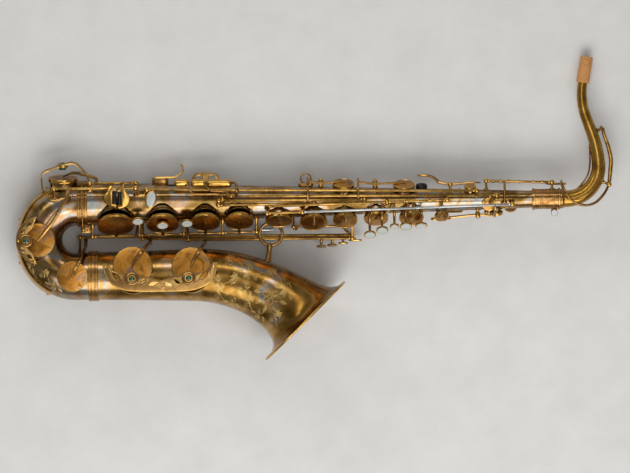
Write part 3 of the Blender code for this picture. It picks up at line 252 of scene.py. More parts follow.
# %% [markdown]
# The other materials are small but each one is known by its surface: ground and polished steel for the
# long G rod, agglomerated cork with dark pores, mother-of-pearl with its cloudy layers, black rollers of
# moulded resin, tan pad leather, red and green felts and little green glass stones in the guards.

# %% Steel, cork, pearl and the small materials
def plain(name, stops, pattern_mm, metallic, roughness, bump=0.0, detail=4.0, stretch=(1, 1, 1), more=()):
    """A material coloured by one noise pattern, which also raises its surface; more are shader settings."""
    material, tree, shader, place = new_material(name, metallic, roughness)
    mapped = add_node(tree, "ShaderNodeMapping", {"Scale": stretch}, {"Vector": place})
    grain = add_node(tree, "ShaderNodeTexNoise",
                     {"Scale": scale_for(pattern_mm), "Detail": detail, "Roughness": 0.65},
                     {"Vector": mapped.outputs["Vector"]})
    tree.links.new(ramp(tree, grain.outputs["Fac"], stops), shader.inputs["Base Color"])
    if bump:
        raised = add_node(tree, "ShaderNodeBump", {"Strength": bump, "Distance": 0.0003},
                          {"Height": grain.outputs["Fac"]})
        tree.links.new(raised.outputs["Normal"], shader.inputs["Normal"])
    for socket, value in dict(more).items():
        shader.inputs[socket].default_value = value
    return material


# Rod ground along its length: bright, with fine lines
FINISH["steel"] = plain("ground_steel", [(0.3, "#a5a5a2"), (0.7, "#cfcec9")], 3, 1.0, 0.34,
                        0.02, 4.0, (1, 12, 12))
# Moulded resin: black and smooth, its gloss a little uneven
FINISH["roller"] = plain("moulded_black_resin", [(0.3, "#0d0c0b"), (0.7, "#1c1a18")], 2, 0.0, 0.32, 0.05)
# Tanned leather, matt and finely creased
FINISH["pad"] = plain("tan_pad_leather", [(0.3, "#6f4a2b"), (0.7, "#93683f")], 1.5, 0.0, 0.62, 0.25)
# Pressed wool without any gloss; its fibres are drawn coarser than they are, so that they show close up
FINISH["felt"] = plain("red_bumper_felt", [(0.3, "#6e1712"), (0.7, "#9c2a20")], 0.8, 0.0, 0.95, 0.5)
FINISH["green_felt"] = plain("green_bumper_felt", [(0.3, "#0f3527"), (0.7, "#1d5a44")], 0.8, 0.0, 0.95, 0.5)
# The bore is never polished, so it is dull and dark
FINISH["inside"] = plain("dull_bore_brass", [(0.3, "#2c1d0e"), (0.7, "#4a3219")], 12, 1.0, 0.55, 0.05)
# Cast glass: deep green under a high gloss
FINISH["stone"] = plain("green_glass_stone", [(0.3, "#02251c"), (0.7, "#0c5a41")], 2, 0.0, 0.08,
                        more={"Coat Weight": 0.6})
# Shell cut across its layers: pale clouds that lie along one another, under a polish
FINISH["pearl"] = plain("mother_of_pearl", [
    (0.28, "#aab0a8"), (0.45, "#c6c9c0"), (0.58, "#bfc4bf"), (0.72, "#d2d1c8")], 5, 0.0, 0.16, 0.02, 6.0,
    (1, 2.2, 1), {"Coat Weight": 0.5, "Subsurface Weight": 0.15, "Subsurface Scale": 0.001})


def cork_sheet():
    """Cork: tan granules about 2 mm across, pressed together, with dark pores between some of them."""
    material, tree, shader, place = new_material("pressed_cork", 0.0, 0.85)
    granules = add_node(tree, "ShaderNodeTexVoronoi", {"Scale": scale_for(2.2), "Randomness": 1.0},
                        {"Vector": place})
    tan = ramp(tree, granules.outputs["Distance"], [(0.0, "#dba365"), (0.55, "#cd9152"), (1.0, "#b97c40")])
    pores = add_node(tree, "ShaderNodeTexNoise", {"Scale": scale_for(1.6), "Detail": 4.0, "Roughness": 0.6},
                     {"Vector": place})
    mask = add_node(tree, "ShaderNodeMapRange", {"From Min": 0.6, "From Max": 0.66},
                    {"Value": pores.outputs["Fac"]})
    mixed = add_node(tree, "ShaderNodeMix", {"data_type": "RGBA", MIX_SECOND: linear("#5f3a1d")},
                     {"Factor": mask.outputs["Result"], MIX_FIRST: tan})
    tree.links.new(mixed.outputs[MIX_RESULT], shader.inputs["Base Color"])
    pitted = add_node(tree, "ShaderNodeBump", {"Strength": 0.6, "Distance": 0.0003, "invert": True},
                      {"Height": mask.outputs["Result"]})
    tree.links.new(pitted.outputs["Normal"], shader.inputs["Normal"])
    return material


FINISH["cork"] = cork_sheet()
print("finishes:", len(FINISH))

# %% [markdown]
# ## A piece in the making
#
# Most of a saxophone is turned, bent or cut from flat stock, so three ways of making a surface are enough:
# a profile turned about an axis, a bar swept along a bent line, and a plate with rounded edges. A piece
# gathers such limbs in one bmesh, each with its finish, and is then set down in the CAD frame, told which
# body carries it, and which coarse CAD node it stands for.

# %% Smooth curves and plain meshes
def smooth_path(points, radii, steps):
    """Points and radii on a smooth curve through the given ones (Catmull-Rom)."""
    def at(values, i):
        return values[max(0, min(len(values) - 1, i))]

    def blend(values, i, t):
        a, b, c, d = (at(values, i + k) for k in (-1, 0, 1, 2))
        return 0.5 * (2 * b + (c - a) * t + (2 * a - 5 * b + 4 * c - d) * t * t
                      + (3 * b - a - 3 * c + d) * t * t * t)

    places, sizes = [], []
    for i in range(len(points) - 1):
        for k in range(steps):
            places.append(blend(points, i, k / steps))
            sizes.append(radii[i] + (radii[i + 1] - radii[i]) * k / steps)
    return places + [points[-1]], sizes + [radii[-1]]


def linked(name, data):
    """A new object of some data, in the scene."""
    obj = bpy.data.objects.new(name, data)
    bpy.context.scene.collection.objects.link(obj)
    return obj


def evaluated_mesh(obj):
    """The plain mesh that an object's modifiers make, in place of that object."""
    graph = bpy.context.evaluated_depsgraph_get()
    mesh = bpy.data.meshes.new_from_object(obj.evaluated_get(graph))
    bpy.data.objects.remove(obj)
    return mesh


print("points on a smooth path through three:", len(smooth_path([0, 1, 2], [1, 1, 1], 4)[0]))


# %% Piece builder
# Faces that meet at more than this angle show a crisp edge
SHARP_FROM = radians(38)


class Piece:
    """Limbs of one rigid piece, made in a frame of the horn and set down in the CAD frame."""

    def __init__(self, name, body="horn", nodes=(), place=Matrix(), finish="key", slot="key_brass"):
        self.name, self.body, self.nodes = name, body, nodes
        self.place, self.finish, self.slot = place, finish, slot
        self.mesh = bmesh.new()
        self.finishes = []

    def paint(self, faces, finish):
        """Gives faces a finish, or the piece's own."""
        finish = finish or self.finish
        if finish not in self.finishes:
            self.finishes.append(finish)
        for face in faces:
            face.material_index = self.finishes.index(finish)
            face.smooth = True

    def skin(self, loops, finish=None, closed=False):
        """A skin over loops of points; a loop of one point is a pole."""
        rings = [[self.mesh.verts.new(point) for point in loop] for loop in loops]
        faces = []
        for first, second in zip(rings, rings[1:] + (rings[:1] if closed else [])):
            count = max(len(first), len(second))
            for i in range(count):
                if len(first) == len(second):
                    corners = [first[i - 1], first[i], second[i], second[i - 1]]
                elif len(first) == 1:
                    corners = [first[0], second[i], second[i - 1]]
                else:
                    corners = [first[i - 1], first[i], second[0]]
                faces.append(self.mesh.faces.new(corners))
        if not closed:
            faces += [self.mesh.faces.new(ring) for ring in (rings[0], rings[-1]) if len(ring) > 2]
        bmesh.ops.recalc_face_normals(self.mesh, faces=faces)
        self.paint(faces, finish)
        return faces

    def cut(self, tool):
        """Takes the volume of another bmesh out of the piece, with an exact Boolean."""
        pair = []
        for mesh in (self.mesh, tool):
            data = bpy.data.meshes.new("work")
            mesh.to_mesh(data)
            mesh.free()
            for finish in self.finishes:
                data.materials.append(FINISH[finish])
            pair.append(linked("work", data))
        boolean = pair[0].modifiers.new("cut", "BOOLEAN")
        boolean.operation, boolean.solver, boolean.object = "DIFFERENCE", "EXACT", pair[1]
        self.mesh = bmesh.new()
        self.mesh.from_mesh(evaluated_mesh(pair[0]))
        for face in self.mesh.faces:
            face.smooth = True
        bpy.data.objects.remove(pair[1])

    def lathe(self, profile, frame=Matrix(), sides=48, finish=None, closed=False):
        """A profile of (radius, height) points turned about the Z axis of a frame."""
        angles = round_angles(sides)
        self.skin([[frame @ Vector((r * cos(a), r * sin(a), h)) for a in (angles if r > 1e-7 else angles[:1])]
                   for r, h in profile], finish, closed)

    def sweep(self, points, radii, finish=None, sides=14, steps=8, flat=1.0, ring=False, up=None):
        """A round or flattened bar along a smooth line; flat is its height over its width."""
        points = [Vector(point) for point in points]
        radii = [radii] * len(points) if isinstance(radii, float) else list(radii)
        if ring:
            count = len(points)
            points, radii = points[-2:] + points + points[:2], radii[-2:] + radii + radii[:2]
        places, sizes = smooth_path(points, radii, steps)
        if ring:
            places, sizes = places[2 * steps:(2 + count) * steps], sizes[2 * steps:(2 + count) * steps]
        loops, side = [], None
        for i, (place, size) in enumerate(zip(places, sizes)):
            before = places[i - 1] if i or ring else place
            after = places[(i + 1) % len(places)] if i + 1 < len(places) or ring else place
            way = (after - before).normalized()
            if side is None:
                side = way.orthogonal() if up is None else Vector(up).cross(way)
            side = (side - side.dot(way) * way).normalized()
            over = way.cross(side)
            loops.append([place + size * (cos(a) * side + flat * sin(a) * over)
                          for a in (pi / 2 + turn for turn in round_angles(sides))])
        if not ring:
            for at, shift in ((0, -1), (-1, 1)):
                way = (places[1] - places[0] if at == 0 else places[-1] - places[-2]).normalized()
                size, middle = sizes[at], places[at]
                beyond = way * shift * size
                caps = [[middle + (point - middle) * share + beyond * depth for point in loops[at]]
                        for share, depth in ((0.8, 0.35), (0.45, 0.55))]
                loops = caps[::-1] + loops if at == 0 else loops + caps
        self.skin(loops, finish, closed=ring)

    def plate(self, outline, thickness, frame=Matrix(), finish=None, edge=0.3, dome=0.0):
        """A plate of a closed outline in the XY plane of a frame, with rounded edges and a domed face."""
        flat = [Vector((x, y)) for x, y in outline]
        centre = sum(flat, Vector((0, 0))) / len(flat)
        area = sum(a.x * b.y - b.x * a.y for a, b in zip(flat, flat[1:] + flat[:1]))
        flat = flat if area > 0 else flat[::-1]
        normals = []
        for i, point in enumerate(flat):
            way = flat[(i + 1) % len(flat)] - flat[i - 1]
            normals.append(Vector((way.y, -way.x)).normalized())
        bevel = edge * thickness
        loops = []
        for inset, height in ((bevel, -0.5), (0.3 * bevel, -0.5 + 0.3 * edge), (0.0, -0.5 + edge),
                              (0.0, 0.5 - edge), (0.3 * bevel, 0.5 - 0.3 * edge), (bevel, 0.5)):
            loops.append([frame @ Vector((*(p - n * inset), height * thickness))
                          for p, n in zip(flat, normals)])
        if dome:
            for share in (0.75, 0.5, 0.25):
                top = thickness / 2 + dome * (1 - share * share)
                loops.append([frame @ Vector((*(centre + (p - n * bevel - centre) * share), top))
                              for p, n in zip(flat, normals)])
        self.skin(loops, finish)

    def blank(self):
        """The piece as a plain object in its own frame."""
        mesh = bpy.data.meshes.new(self.name)
        self.mesh.to_mesh(mesh)
        self.mesh.free()
        mesh.set_sharp_from_angle(angle=SHARP_FROM)
        for finish in self.finishes:
            mesh.materials.append(FINISH[finish])
        return linked(self.name, mesh)

    def done(self):
        """Sets the piece down in the CAD frame, on the body that carries it, for the nodes it stands for."""
        self.mesh.transform(HORN @ self.place)
        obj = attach(self.blank(), self.body)
        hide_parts(*self.nodes)
        print(self.name, "on", self.body, "with", len(obj.data.polygons), "faces")


print("what a piece can do:", ", ".join(name for name in vars(Piece) if name[0] != "_"))

# %% [markdown]
# ## Tubes
#
# A saxophone is one cone folded in two: a straight body tube, a bow that turns it round and a bell that
# flares out. The centre lines and radii below are the maker's numbers for it, and every tone hole, post
# and key takes its place from them.

# %% Centre lines and radii
BOW_RADIUS, BOW_STRAIGHT, BOW_END_RADIUS = 0.0525, 0.0105, 0.0345
BELL_START, BELL_STRAIGHT, BELL_TURN_RADIUS, BELL_TURN = 0.015, 0.146, 0.223, radians(46)
BELL_RIM_RADIUS, BELL_BEAD, FLARE_EDGE = 0.08, 0.002, 0.0015
BOW_AXIS = Vector((-BOW_STRAIGHT, -BOW_RADIUS, 0))
BELL_AXIS_Y = -2 * BOW_RADIUS
BELL_LENGTH = BELL_STRAIGHT + BELL_TURN_RADIUS * BELL_TURN
FLARE_POWER = log(BELL_RIM_RADIUS / BOW_END_RADIUS) / log(1 + BELL_LENGTH / FLARE_EDGE)
RIM_AXIS = Vector((cos(BELL_TURN), -sin(BELL_TURN), 0))


def body_radius(x):
    """The body tube's radius at a station."""
    return BODY_FOOT_RADIUS + (BODY_TOP_RADIUS - BODY_FOOT_RADIUS) * x / BODY_LENGTH


def bow_out(turn):
    """The way out of the bow's bend; the turn runs from 0 at the body to pi at the bell."""
    return Vector((-sin(turn), cos(turn), 0))


def bow_point(turn):
    """A point on the bow's centre line."""
    return BOW_AXIS + BOW_RADIUS * bow_out(turn)


def bow_radius(turn):
    """The bow's radius at a turn."""
    return BODY_FOOT_RADIUS + (BOW_END_RADIUS - BODY_FOOT_RADIUS) * turn / pi


def bow_turn(x):
    """The turn along the upper half of the bow at which its centre line reaches a station."""
    return asin((-BOW_STRAIGHT - x) / BOW_RADIUS)


def bell_point(distance):
    """A point on the bell's centre line, by its distance from the rim along that line."""
    run = BELL_LENGTH - distance
    if run < BELL_STRAIGHT:
        return Vector((BELL_START + run, BELL_AXIS_Y, 0))
    turn = (run - BELL_STRAIGHT) / BELL_TURN_RADIUS
    return Vector((BELL_START + BELL_STRAIGHT + BELL_TURN_RADIUS * sin(turn),
                   BELL_AXIS_Y - BELL_TURN_RADIUS * (1 - cos(turn)), 0))


def bell_radius(distance):
    """The bell's radius at a distance from the rim: the power law of its flare."""
    return BELL_RIM_RADIUS * (1 + distance / FLARE_EDGE) ** -FLARE_POWER


def panel_matrix(degrees):
    """A frame on the body cone: X runs up the cone, Z stands off it at an angle round from the front."""
    angle = radians(degrees)
    slope = atan((BODY_FOOT_RADIUS - BODY_TOP_RADIUS) / BODY_LENGTH)
    out = Vector((0, -cos(angle), sin(angle)))
    along = Vector((cos(slope), 0, 0)) - out * sin(slope)
    normal = out * cos(slope) + Vector((sin(slope), 0, 0))
    panel = Matrix((along, normal.cross(along), normal)).transposed().to_4x4()
    panel.translation = out * BODY_FOOT_RADIUS
    return panel


def upright(centre, radius):
    """A frame on a tube's right side, straight above a point of its centre line."""
    return facing(centre + Vector((0, 0, radius)), (0, 0, 1))


def bell_frame(x):
    """Such a frame on the bell, at a station of its straight part."""
    distance = BELL_LENGTH - (x - BELL_START)
    return upright(bell_point(distance), bell_radius(distance))


print("bell:", round(BELL_LENGTH / MM), "mm along its middle, flare power", round(FLARE_POWER, 3))

# %% [markdown]
# The tone holes come first, because the tubes are cut for them. Each is a frame standing on its tube and
# the diameter of the key cup over it. Their chimneys are drawn out of the tube's own wall, with straight
# sides, and their rims are turned level for the pads.

# %% Tone holes
CHIMNEY_RISE, CHIMNEY_WALL, CUP_OVERLAP, CUP_SEAT = 0.003, 0.0011, 0.0035, 0.0008
# Station and cup diameter of each hole, in millimetres
LOWER_STACK = {"d": (48, 54), "e": (116, 48), "f": (178, 44), "fsharp": (227, 42.5)}
UPPER_STACK = {"gsharp": (285, 40), "g": (335, 40), "a": (381, 36), "bis": (426, 36), "b": (477, 36),
               "c": (521, 21)}
LOWER_ANGLE, UPPER_ANGLE = 42, 25
# Degrees round the tube, and stations of the hinge, the cup and the near end of the touch
PALM_KEYS = {"high_f_key": (-14, 574, 601, 526), "palm_eb_key": (-60, 587, 622, 545),
             "palm_d_key": (-104, 548, 576, 492)}
# Degrees of the lever's rail, stations of hinge, cup, bar and touch, and the first bend of the lever's arm
SIDE_KEYS = {"bb": (83, 346, 379, 327, 145, (9, 14)), "c": (94, 425, 467, 400, 169, (4, 18))}
SIDE_CUP_ANGLE, SIDE_CUP, PALM_CUP = 155, 32, 20
# Keys on long rails: degrees of the rail, and station, degrees round from it and diameter of the cup
HIGH_E_ANGLE, HIGH_E_CUP = 104, (590, -32, 20)
HIGH_FSHARP_ANGLE, HIGH_FSHARP_CUP = 117, (563, 35, 17)
OCTAVE_ANGLE, OCTAVE_CUP = 180, (613, -115, 10)
RAIL_CUPS = ((HIGH_E_ANGLE, HIGH_E_CUP), (HIGH_FSHARP_ANGLE, HIGH_FSHARP_CUP), (OCTAVE_ANGLE, OCTAVE_CUP))
# Stations and cups of the lowest notes
LOW_BB, LOW_B, LOW_CSHARP = (157.6, 57), (73, 58), (-15, 45)
LOW_C_CUP, LOW_EB_STATION, LOW_EB_CUP = 49.5, -28, 44


def body_hole(degrees, station, diameter):
    """The frame and the radius of a hole in the body tube."""
    return panel_matrix(degrees) @ Matrix.Translation((station * MM, 0, 0)), diameter * MM / 2 - CUP_OVERLAP


BODY_HOLES = [body_hole(LOWER_ANGLE, *hole) for hole in LOWER_STACK.values()]
BODY_HOLES += [body_hole(UPPER_ANGLE, *hole) for hole in UPPER_STACK.values()]
BODY_HOLES += [body_hole(degrees, station, PALM_CUP) for degrees, _, station, _ in PALM_KEYS.values()]
BODY_HOLES += [body_hole(SIDE_CUP_ANGLE, station, SIDE_CUP) for _, _, station, *_ in SIDE_KEYS.values()]
BODY_HOLES += [body_hole(rail + turn, station, cup) for rail, (station, turn, cup) in RAIL_CUPS]
LEAN_EB = radians(12)
EB_OUT = Vector((0, cos(LEAN_EB), sin(LEAN_EB)))
EB_TURN, CSHARP_TURN, LOW_C_TURN = bow_turn(LOW_EB_STATION * MM), pi - bow_turn(LOW_CSHARP[0] * MM), pi / 2
EB_FRAME = facing(bow_point(EB_TURN) + EB_OUT * bow_radius(EB_TURN) / cos(EB_TURN), EB_OUT)
CSHARP_FRAME = upright(bow_point(CSHARP_TURN), bow_radius(CSHARP_TURN))
LOW_C_FRAME = upright(bow_point(LOW_C_TURN), bow_radius(LOW_C_TURN))
BOW_CUPS = ((CSHARP_FRAME, LOW_CSHARP[1]), (LOW_C_FRAME, LOW_C_CUP), (EB_FRAME, LOW_EB_CUP))
BOW_HOLES = [(where, cup * MM / 2 - CUP_OVERLAP) for where, cup in BOW_CUPS]
BELL_HOLES = [(bell_frame(x * MM), cup * MM / 2 - CUP_OVERLAP) for x, cup in (LOW_BB, LOW_B)]
print("tone holes:", len(BODY_HOLES) + len(BOW_HOLES) + len(BELL_HOLES))

# %% Chimneys and drills
HOLE_SIDES = 72


def chimneys(piece, holes, depth):
    """The drawn rims of tone holes: a straight side off the tube, a level lip and the wall down inside."""
    for where, radius in holes:
        outer = radius + CHIMNEY_WALL
        profile = [(radius, -depth), (radius, CHIMNEY_RISE - 0.0003), (radius + 0.0003, CHIMNEY_RISE),
                   (outer - 0.0002, CHIMNEY_RISE), (outer, CHIMNEY_RISE - 0.0003), (outer, 0.0008),
                   (outer + 0.0001, -depth * 0.5), (outer, -depth)]
        piece.lathe(profile, where, HOLE_SIDES, closed=True)


def borer(holes, depth):
    """A mesh of drums to cut tone holes with."""
    drums = bmesh.new()
    for where, radius in holes:
        length = depth + CHIMNEY_RISE
        bmesh.ops.create_cone(drums, cap_ends=True, segments=HOLE_SIDES, radius1=radius + CHIMNEY_WALL / 2,
                              radius2=radius + CHIMNEY_WALL / 2, depth=length,
                              matrix=where @ Matrix.Translation((0, 0, CHIMNEY_RISE - length / 2)))
    return drums


print("widest hole, mm:", round(2 * max(radius for _, radius in BODY_HOLES + BOW_HOLES + BELL_HOLES) / MM, 1))

# %% [markdown]
# The body tube and the bow are lofted over rings of points: a closed loop of an outer and an inner skin,
# so the wall has its thickness. The holes are then bored with an exact Boolean, as a drill would, and the
# chimneys are added.

# %% Body tube and bow
TUBE_SIDES, BODY_STEPS, BOW_STEPS = 96, 110, 64


def ring_points(centre, axis, radius, sides):
    """Points round a tube's centre line."""
    ring = facing(centre, axis, (0, 0, 1))
    return [ring @ Vector((radius * cos(a), radius * sin(a), 0)) for a in round_angles(sides)]


def tube_skin(piece, rings, wall, sides):
    """A tube with a wall over rings of (centre, axis, outer radius)."""
    outer = [ring_points(*ring, sides) for ring in rings]
    inner = [ring_points(centre, axis, radius - wall, sides) for centre, axis, radius in reversed(rings)]
    faces = piece.skin(outer + inner, closed=True)
    inward = len(rings) * sides
    piece.paint(faces[inward:-sides], "inside")


def bored(piece, holes, depth, seat):
    """Cuts tone holes through a tube and adds their chimneys."""
    piece.cut(borer(holes, depth))
    chimneys(piece, holes, seat)


body = Piece("body_tube_brass", "horn", ("body_tube",), finish="body", slot="aged_brass")
stations = [BODY_LENGTH * i / BODY_STEPS for i in range(BODY_STEPS + 1)]
tube_skin(body, [(Vector((x, 0, 0)), (1, 0, 0), body_radius(x)) for x in stations], TUBE_WALL, TUBE_SIDES)
bored(body, BODY_HOLES, depth=0.02, seat=0.004)
body.done()

bow = Piece("bow_brass", "horn", ("bow",), finish="body", slot="aged_brass")
turns = [pi * i / BOW_STEPS for i in range(BOW_STEPS + 1)]
bow_rings = [(Vector((x, 0, 0)), (-1, 0, 0), BODY_FOOT_RADIUS) for x in (-0.0003, -0.004, -0.008)]
bow_rings += [(bow_point(t), (-cos(t), -sin(t), 0), bow_radius(t)) for t in turns]
bow_rings += [(Vector((x, BELL_AXIS_Y, 0)), (1, 0, 0), BOW_END_RADIUS)
              for x in (-0.004, 0.004, BELL_START - 0.0003)]
tube_skin(bow, bow_rings, TUBE_WALL, TUBE_SIDES)
bored(bow, BOW_HOLES, depth=0.02, seat=0.006)
bow.done()

# %% [markdown]
# The bell's shape follows a rule: its radius is a power of the distance from the rim. Geometry Nodes turn
# the centre line into the flared sheet from that rule, with the rim radius, the edge and the power as
# named inputs. A Solidify modifier gives the sheet its wall.

# %% Geometry Nodes helpers
def node_tree(name, inputs):
    """A geometry node tree with its named inputs; returns it with its input node's sockets by name."""
    tree = bpy.data.node_groups.new(name, "GeometryNodeTree")
    for label, kind in [("Geometry", "Geometry"), *inputs]:
        tree.interface.new_socket(label, in_out="INPUT", socket_type="NodeSocket" + kind)
    tree.interface.new_socket("Geometry", in_out="OUTPUT", socket_type="NodeSocketGeometry")
    return tree, add_node(tree, "NodeGroupInput").outputs


def end_tree(tree, geometry, material):
    """Ends a tree in Realize Instances and Set Material, and prints its sockets."""
    real = add_node(tree, "GeometryNodeRealizeInstances", {}, {"Geometry": geometry})
    painted = add_node(tree, "GeometryNodeSetMaterial", {},
                       {"Geometry": real.outputs["Geometry"], "Material": material})
    add_node(tree, "NodeGroupOutput", {}, {"Geometry": painted.outputs["Geometry"]})
    print("node tree", tree.name, [item.name for item in tree.interface.items_tree])


def points_object(points, chains=(), **attributes):
    """A mesh of points, joined in chains, with values for each point."""
    mesh = bpy.data.meshes.new("points")
    mesh.from_pydata(points, [(a, a + 1) for chain in chains for a in chain[:-1]], [])
    for name, values in attributes.items():
        vectors = isinstance(values[0], Vector)
        layer = mesh.attributes.new(name, "FLOAT_VECTOR" if vectors else "FLOAT", "POINT")
        flat = [x for value in values for x in value] if vectors else values
        layer.data.foreach_set("vector" if vectors else "value", flat)
    return linked("points", mesh)


def grow(tree, source, **settings):
    """The mesh that a tree makes of a source object with these inputs."""
    modifier = source.modifiers.new("nodes", "NODES")
    modifier.node_group = tree
    named = {item.name: item.identifier for item in tree.interface.items_tree if item.in_out == "INPUT"}
    for name, value in settings.items():
        modifier[named[name.replace("_", " ")]] = value
    return evaluated_mesh(source)


print("node trees so far:", len(bpy.data.node_groups))


# %% Tree of a flared tube
def end_in_tube(tree, given, radius, caps):
    """Ends a tree in a round tube of some radius along its chains of points."""
    line = add_node(tree, "GeometryNodeMeshToCurve", {}, {"Mesh": given["Geometry"]})
    circle = add_node(tree, "GeometryNodeCurvePrimitiveCircle", {"Radius": 1.0},
                      {"Resolution": given["Sides"]})
    tube = add_node(tree, "GeometryNodeCurveToMesh", {"Fill Caps": caps},
                    {"Curve": line.outputs["Curve"], "Profile Curve": circle.outputs["Curve"],
                     "Scale": radius})
    end_tree(tree, tube.outputs["Mesh"], given["Material"])


def tube_tree():
    """A tube along a line, its radius a power of the distance from the line's far end."""
    tree, given = node_tree("flared_tube", [("Rim radius", "Float"), ("Edge", "Float"), ("Power", "Float"),
                                            ("Sides", "Int"), ("Material", "Material")])
    run = add_node(tree, "GeometryNodeSplineParameter").outputs["Length"]
    whole = add_node(tree, "GeometryNodeSplineLength").outputs["Length"]
    left = add_node(tree, "ShaderNodeMath", {"operation": "SUBTRACT"}, {0: whole, 1: run}).outputs[0]
    share = add_node(tree, "ShaderNodeMath", {"operation": "DIVIDE"}, {0: left, 1: given["Edge"]}).outputs[0]
    base = add_node(tree, "ShaderNodeMath", {"operation": "ADD", 1: 1.0}, {0: share}).outputs[0]
    flare = add_node(tree, "ShaderNodeMath", {"operation": "POWER"}, {0: base, 1: given["Power"]}).outputs[0]
    radius = add_node(tree, "ShaderNodeMath", {"operation": "DIVIDE"},
                      {0: given["Rim radius"], 1: flare}).outputs[0]
    end_in_tube(tree, given, radius, False)
    return tree


FLARED_TUBE = tube_tree()

# %% Bell
BELL_STEPS, BELL_SIDES, RIM_SIDES, BEAD_SIDES = 120, 128, 160, 20
reach = 1 + BELL_LENGTH / FLARE_EDGE
distances = [FLARE_EDGE * (reach ** (i / BELL_STEPS) - 1) for i in range(BELL_STEPS + 1)]
line = points_object([bell_point(d) for d in reversed(distances)], [range(BELL_STEPS + 1)])
sheet = grow(FLARED_TUBE, line, Rim_radius=BELL_RIM_RADIUS, Edge=FLARE_EDGE, Power=FLARE_POWER,
             Sides=BELL_SIDES, Material=FINISH["bell"])
sheet_object = linked("sheet", sheet)
wall = sheet_object.modifiers.new("wall", "SOLIDIFY")
wall.thickness, wall.offset = TUBE_WALL, -1.0

bell = Piece("bell_brass", "horn", ("bell",), finish="bell", slot="aged_brass")
bell.paint([], "bell")
bell.mesh.from_mesh(evaluated_mesh(sheet_object))
bmesh.ops.remove_doubles(bell.mesh, verts=bell.mesh.verts, dist=1e-6)
bmesh.ops.recalc_face_normals(bell.mesh, faces=bell.mesh.faces)
bored(bell, BELL_HOLES, depth=0.03, seat=0.008)
rim = facing(bell_point(0), RIM_AXIS, (0, 0, 1))
# The edge is rolled over a wire; its bead is a little oval and set in, so that it stays within the rim
bell.lathe([(BELL_RIM_RADIUS + BELL_BEAD * (0.85 * cos(a) - 0.3), BELL_BEAD * (0.1 + 0.9 * sin(a)))
            for a in round_angles(BEAD_SIDES)], rim, RIM_SIDES, "touch", closed=True)
bell.done()

# %% [markdown]
# ## Keys
#
# A key is cup, arm, hinge tube and touch brazed together. It is built closed on its tone hole and then
# turned about its hinge to where its spring holds it. Cups are turned discs with a rounded rim; a felt and
# leather pad sits in each, with a riveted metal disc that throws the sound back. Arms are filed ribs that
# taper to the middle of the cup.

# %% Sizes of hinges, posts and cups
HINGE_RADIUS, POST_BALL, POST_STEM, POST_GAP = 0.002, 0.0038, 0.0021, 0.002935
CUP_SKIRT, CUP_DOME, CUP_WALL = 0.0046, 0.0011, 0.0011
PEARL_RADIUS, PEARL_HEIGHT, CLEARANCE = 0.008, 0.0026, 0.0003
POST_END = POST_GAP / MM
CUP_TOP = (CHIMNEY_RISE + CUP_SEAT + CUP_SKIRT) / MM + 1.6
STACK_OPENING, BELL_KEY_OPENING = radians(9), radians(11)
POSTS, SCREWS = [], []


def body_post(ball):
    """Notes a post on the body tube: its ball, and the centre and radius of the tube under it."""
    POSTS.append((ball, Vector((ball.x, 0, 0)), body_radius(ball.x)))


def rail_posts(rail, stations, height, across=0):
    """Notes the posts of a hinge line at stations along it."""
    for station in stations:
        body_post(rail @ mm(station, across, height))


print("tops of cups above the tube, mm:", round(CUP_TOP, 1))


